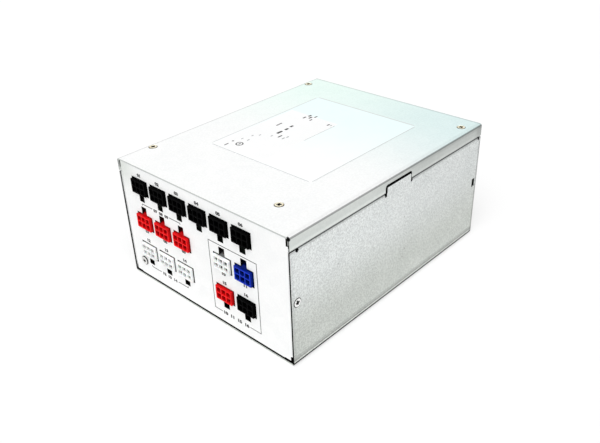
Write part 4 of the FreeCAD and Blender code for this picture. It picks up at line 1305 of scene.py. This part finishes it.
@dataclass
class FrontPrint:
    """Printed numbers and lines on the front panel.

    Attributes:
        sockets: The sockets that get numbers.
        proud: Thickness of the ink.
        line, thin: Width of the frame's lines and of the group lines.
        digit, wide: Height of a number and how much it is widened.
        bold, raised: Growth of a digit's stroke and half its thickness, in type sizes.
        above, below: Distance from a socket's centre to a number above or below it.
        frame_lines: Frame round the right-hand group: X and Z of each line's start and end.
        group_lines: Lines beside the other groups, each with a short tick, in the same way.
        captions: Numbers of a group: text, middle, height above the base and size.
    """

    shop: Workshop
    sockets: SocketField
    proud: float = 0.03
    line: float = 0.5
    thin: float = 0.55
    digit: float = 2.3
    bold: float = 0.075
    raised: float = 0.01
    wide: float = 1.35
    above: float = 8.0
    below: float = 7.5
    frame_lines: tuple[Box, ...] = (
        (8.5, 9.15, 8.5, 58.85), (48.7, 9.15, 48.7, 58.85), (8.75, 58.6, 48.45, 58.6),
        (8.75, 9.4, 15.5, 9.4), (39.5, 9.4, 48.45, 9.4))
    group_lines: tuple[Box, ...] = (
        (-55.0, 59.4, -44.5, 59.4), (-55.0, 58.3, -55.0, 59.4),
        (-27.8, 59.4, -17.2, 59.4), (-17.2, 58.3, -17.2, 59.4),
        (-54.8, 11.4, -45.0, 11.4), (-54.8, 11.4, -54.8, 12.5),
        (-27.2, 11.4, -17.5, 11.4), (-17.5, 11.4, -17.5, 12.5))
    captions: tuple[tuple[str, float, float, float], ...] = (
        ("07  08  09", -36.0, 58.9, 2.3), ("12  13  14", -36.0, 11.2, 2.3),
        ("10  11  15  16", 27.5, 9.4, 2.6))

    def _face(self) -> float:
        """Y of the panel's face in millimetres."""
        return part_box("front_panel")[0].y / MM

    def _lines(self, lines: Iterable[Box], width: float) -> BMesh:
        """Printed lines on the panel's face.

        Args:
            lines: X and Z of each line's start and end.
            width: Their width.

        Returns:
            The lines in one bmesh.
        """
        mesh = bmesh.new()
        front, back = self._face() - self.proud, self._face() + self.proud
        for x0, z0, x1, z1 in lines:
            aside, up = (width / 2, 0) if x0 == x1 else (0, width / 2)
            box_into(mesh, (x0 - aside, front, z0 - up), (x1 + aside, back, z1 + up))
        return mesh

    def _number(self, text: str, x: float, z: float, height: float) -> Mesh:
        """One number as a thin mesh on the panel's face.

        Args:
            text: The digits.
            x: Middle of the number in millimetres.
            z: Middle of its height in millimetres.
            height: Its height in millimetres.

        Returns:
            The mesh, in place.
        """
        curve = bpy.data.curves.new("number", "FONT")
        curve.body = text
        curve.align_x, curve.align_y = "CENTER", "CENTER"
        curve.extrude, curve.bevel_depth, curve.bevel_resolution = self.raised, self.bold, 0
        holder = placed("number", curve)
        bpy.context.view_layer.update()
        graph = bpy.context.evaluated_depsgraph_get()
        mesh = bpy.data.meshes.new_from_object(holder.evaluated_get(graph))
        bpy.data.objects.remove(holder)
        bpy.data.curves.remove(curve)
        along = list(zip(*(v.co for v in mesh.vertices)))
        low, high = Vector(map(min, along)), Vector(map(max, along))
        size = high - low
        grow, thick = height * MM / size.y, 2 * self.proud * MM / size.z
        flat = Matrix.Diagonal((grow * self.wide, grow, thick, 1))
        flat = flat @ Matrix.Translation(-(low + high) / 2)
        spot = Matrix.Translation(Vector((x, self._face(), z)) * MM)
        mesh.transform(spot @ Matrix.Rotation(math.pi / 2, 4, "X") @ flat)
        return mesh

    def _numbers(self) -> BMesh:
        """Every socket's number and the groups' numbers.

        Returns:
            The numbers in one bmesh.
        """
        texts = []
        for index in SOCKET_NUMBERS:
            spot = self.sockets.centre(index) / MM
            rise = -self.below if index in self.sockets.latch_up else self.above
            texts.append((f"{index:02d}", spot.x, spot.z + rise, self.digit))
        joined = bmesh.new()
        for text in (*texts, *self.captions):
            join(joined, self._number(*text))
        return joined

    def build(self) -> None:
        """Print the panel."""
        for name, mesh, ink in (
                ("front_frame_lines", self._lines(self.frame_lines, self.line), "line_ink"),
                ("front_group_lines", self._lines(self.group_lines, self.thin), "line_ink"),
                ("front_numbers", self._numbers(), "ink")):
            self.shop.piece(name, mesh, ink, "front_steel")


@dataclass
class TopLabel:
    """Plain fields and marks on the label of the cover.

    Attributes:
        proud, rise: Thickness of the pale field, half of it sunk, and height of the marks.
        patch: Pale field in the label's left half: low X, high X, low Y, high Y.
        bars: Dark bars: X, Y, length along X, length along Y.
        faint: Paler bars, in the same way.
        rings: Rings: X, Y, outer radius.
        ring_width, ring_steps: Width of a ring's line and number of its sides.
    """

    shop: Workshop
    proud: float = 0.02
    rise: float = 0.03
    patch: Box = (-43.0, 0.0, -39.0, 33.0)
    bars: tuple[Box, ...] = (
        (-35.5, -37.4, 0.9, 3.6), (-36.0, -31.1, 1.2, 1.4), (-29.2, -31.6, 0.9, 2.0),
        (-31.6, 8.0, 1.0, 5.6), (-21.8, -1.7, 1.9, 5.0), (-21.7, 5.1, 1.9, 3.2),
        (-22.4, 10.8, 1.7, 3.0), (-16.9, -6.4, 1.1, 4.0), (-26.1, 27.9, 1.2, 3.2),
        (-25.2, 32.6, 1.5, 2.8), (-22.6, 30.2, 1.4, 3.4), (-19.6, 27.3, 1.1, 2.6),
        (-20.5, 33.5, 1.1, 3.0), (-4.4, 28.2, 1.1, 2.6))
    faint: tuple[Box, ...] = (
        (-32.2, -16.9, 0.9, 1.8), (-28.9, -13.2, 0.9, 1.8), (-29.1, -23.8, 0.9, 2.2),
        (-21.8, -9.3, 0.9, 2.0), (-12.9, -7.3, 1.0, 2.6), (-12.2, -4.0, 1.0, 2.2),
        (-34.0, -24.5, 0.8, 2.0), (-2.3, 28.6, 0.9, 1.6), (0.1, 14.0, 0.3, 31.0))
    rings: tuple[Spot, ...] = ((-29.2, -31.6, 2.7),)
    ring_width: float = 0.8
    ring_steps: int = 28

    def build(self) -> None:
        """Lay the fields and marks on the label."""
        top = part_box("rating_label")[1].z / MM
        low, high = top, top + self.rise
        patch = bmesh.new()
        x0, x1, y0, y1 = self.patch
        box_into(patch, (x0, y0, top - self.proud / 2), (x1, y1, top + self.proud / 2))
        marks = self._bars(self.bars, low, high)
        for ring in self.rings:
            self._ring(marks, ring, low, high)
        for name, mesh, finish in (
                ("label_field", patch, "label_patch"), ("label_marks", marks, "ink"),
                ("label_faint_marks", self._bars(self.faint, low, high), "grey_ink")):
            self.shop.piece(name, mesh, finish, "label_paper")

    @staticmethod
    def _bars(bars: Iterable[Box], low: float, high: float) -> BMesh:
        """Flat bars between two heights.

        Args:
            bars: The bars.
            low: Lower height in millimetres.
            high: Upper height.

        Returns:
            The bars in one bmesh.
        """
        mesh = bmesh.new()
        for x, y, wide, long in bars:
            box_into(mesh, (x - wide / 2, y - long / 2, low), (x + wide / 2, y + long / 2, high))
        return mesh

    def _ring(self, mesh: BMesh, ring: Spot, low: float, high: float) -> None:
        """Add a flat ring by turning a small rectangle round a spot.

        Args:
            mesh: The bmesh that gets it.
            ring: X, Y and outer radius.
            low: Lower height in millimetres.
            high: Upper height.
        """
        x, y, radius = ring
        inner = radius - self.ring_width
        corners = [(inner, low), (radius, low), (radius, high), (inner, high)]
        verts = [mesh.verts.new(((x + r) * MM, y * MM, z * MM)) for r, z in corners]
        edges = [mesh.edges.new((verts[i - 1], verts[i])) for i in range(len(verts))]
        before = set(mesh.faces)
        bmesh.ops.spin(mesh, geom=[*verts, *edges], cent=(x * MM, y * MM, 0), axis=(0, 0, 1),
                       angle=math.tau, steps=self.ring_steps, use_merge=True)
        bmesh.ops.recalc_face_normals(mesh, faces=[f for f in mesh.faces if f not in before])


@dataclass
class CarriedSolids:
    """The solids that stay as they are and get their finish from the record's slots.

    Attributes:
        own: Nodes with a finish of their own within their slot.
    """

    finishes: Finishes
    own: dict[str, str] = field(default_factory=lambda: {
        "fan_screws": "fan_screw", "inlet_screws": "inlet_screw", "base_screws": "base_screw"})

    def build(self) -> None:
        """Dress every node in the finish of its slot."""
        for part in frame["record"]["subparts"]:
            name = part["node"]
            finish = self.own.get(name, part["material_slot"])
            data = frame["nodes"][name].data
            data.materials.clear()
            data.materials.append(self.finishes[finish])
            log.info("solid %s: %s", name, finish)


@dataclass
class Studio:
    """Floor, soft light and camera.

    Attributes:
        floor_half, floor_drop: Half the floor's side in metres and its drop under the part.
        floor_colour, floor_rough, floor_shine: Its colour, roughness and mirror reflection.
        floor_white: Share of plain white in what is seen of it; the rest keeps the shadow.
        sky: Strength of the light from all round.
        key, key_from, key_angle: Strength, direction and breadth in degrees of the main lamp.
        focal, picture: Camera's focal length and the picture's width, in pixels.
        sensor: Width of the camera's sensor.
        clip: Nearest and farthest that the camera sees, in metres.
        eye, right, up: Camera's place, its right and its up.
    """

    floor_half: float = 6.0
    floor_drop: float = 0.2
    floor_colour: Rgb = (0.93, 0.93, 0.93)
    floor_rough: float = 0.9
    floor_shine: float = 0.1
    floor_white: float = 0.5
    sky: float = 0.45
    key: float = 2.46
    key_from: Spot = (0.30, -0.43, 0.85)
    key_angle: float = 50.0
    focal: float = 697.46
    picture: float = 600.0
    sensor: float = 36.0
    clip: tuple[float, float] = (0.01, 50.0)
    eye: Spot = (285.63, -307.35, 273.28)
    right: Spot = (0.7354, 0.6769, -0.0294)
    up: Spot = (-0.3273, 0.3929, 0.8594)

    def _floor(self) -> None:
        """A wide pale floor under the part, part of it plain white to the eye."""
        mesh = bmesh.new()
        bmesh.ops.create_grid(mesh, x_segments=1, y_segments=1, size=self.floor_half)
        floor = placed("floor", settled("floor", mesh))
        floor.location.z = -self.floor_drop * MM
        shade = Shade("floor", self.floor_colour, self.floor_rough)
        shade.feed(Specular_IOR_Level=self.floor_shine)
        glow = shade.tree.nodes.new("ShaderNodeEmission")
        seen = shade.combine(Sum.TIMES, shade.seen(), self.floor_white)
        shade.show("Material Output", seen, shade.surface, glow)
        floor.data.materials.append(shade.material)

    def _sky(self) -> None:
        """An even sky that is plain white where it is seen or mirrored."""
        world = bpy.data.worlds.new("studio")
        bpy.context.scene.world = world
        world.use_nodes = True
        nodes = Nodes(world.node_tree)
        light = nodes.tree.nodes["Background"]
        seen = nodes.tree.nodes.new("ShaderNodeBackground")
        for node, strength in ((light, self.sky), (seen, 1.0)):
            node.inputs["Color"].default_value = (1, 1, 1, 1)
            node.inputs["Strength"].default_value = strength
        nodes.show("World Output", nodes.seen(), light, seen)

    def _lamp(self) -> None:
        """One broad soft lamp from above and in front."""
        lamp = bpy.data.lights.new("key", "SUN")
        lamp.energy = self.key
        lamp.angle = math.radians(self.key_angle)
        holder = placed("key", lamp)
        holder.rotation_mode = "QUATERNION"
        holder.rotation_quaternion = Vector(self.key_from).to_track_quat("Z", "Y")

    def _camera(self) -> None:
        """The photograph's camera, solved from the case's corners."""
        camera = bpy.data.cameras.new("camera")
        camera.sensor_width = self.sensor
        camera.lens = self.focal / self.picture * self.sensor
        camera.clip_start, camera.clip_end = self.clip
        right = Vector(self.right).normalized()
        back = right.cross(Vector(self.up).normalized()).normalized()
        turn = Matrix((right, back.cross(right), back)).transposed()
        holder = placed("camera", camera)
        holder.matrix_world = Matrix.Translation(Vector(self.eye) * MM) @ turn.to_4x4()
        bpy.context.scene.camera = holder

    def build(self) -> None:
        """Set the stage."""
        bpy.context.scene.view_settings.view_transform = "Standard"
        self._floor()
        self._sky()
        self._lamp()
        self._camera()


def main() -> None:
    """Dress the solids, add the finer pieces and set the stage."""
    logging.basicConfig(level=logging.INFO, format="%(message)s")
    finishes = Finishes()
    shop = Workshop(finishes)
    sockets = SocketField(shop)
    CarriedSolids(finishes).build()
    sockets.build()
    Screws(shop).build()
    FrontPrint(shop, sockets).build()
    TopLabel(shop).build()
    Studio().build()


if __name__ == "__main__":
    main()
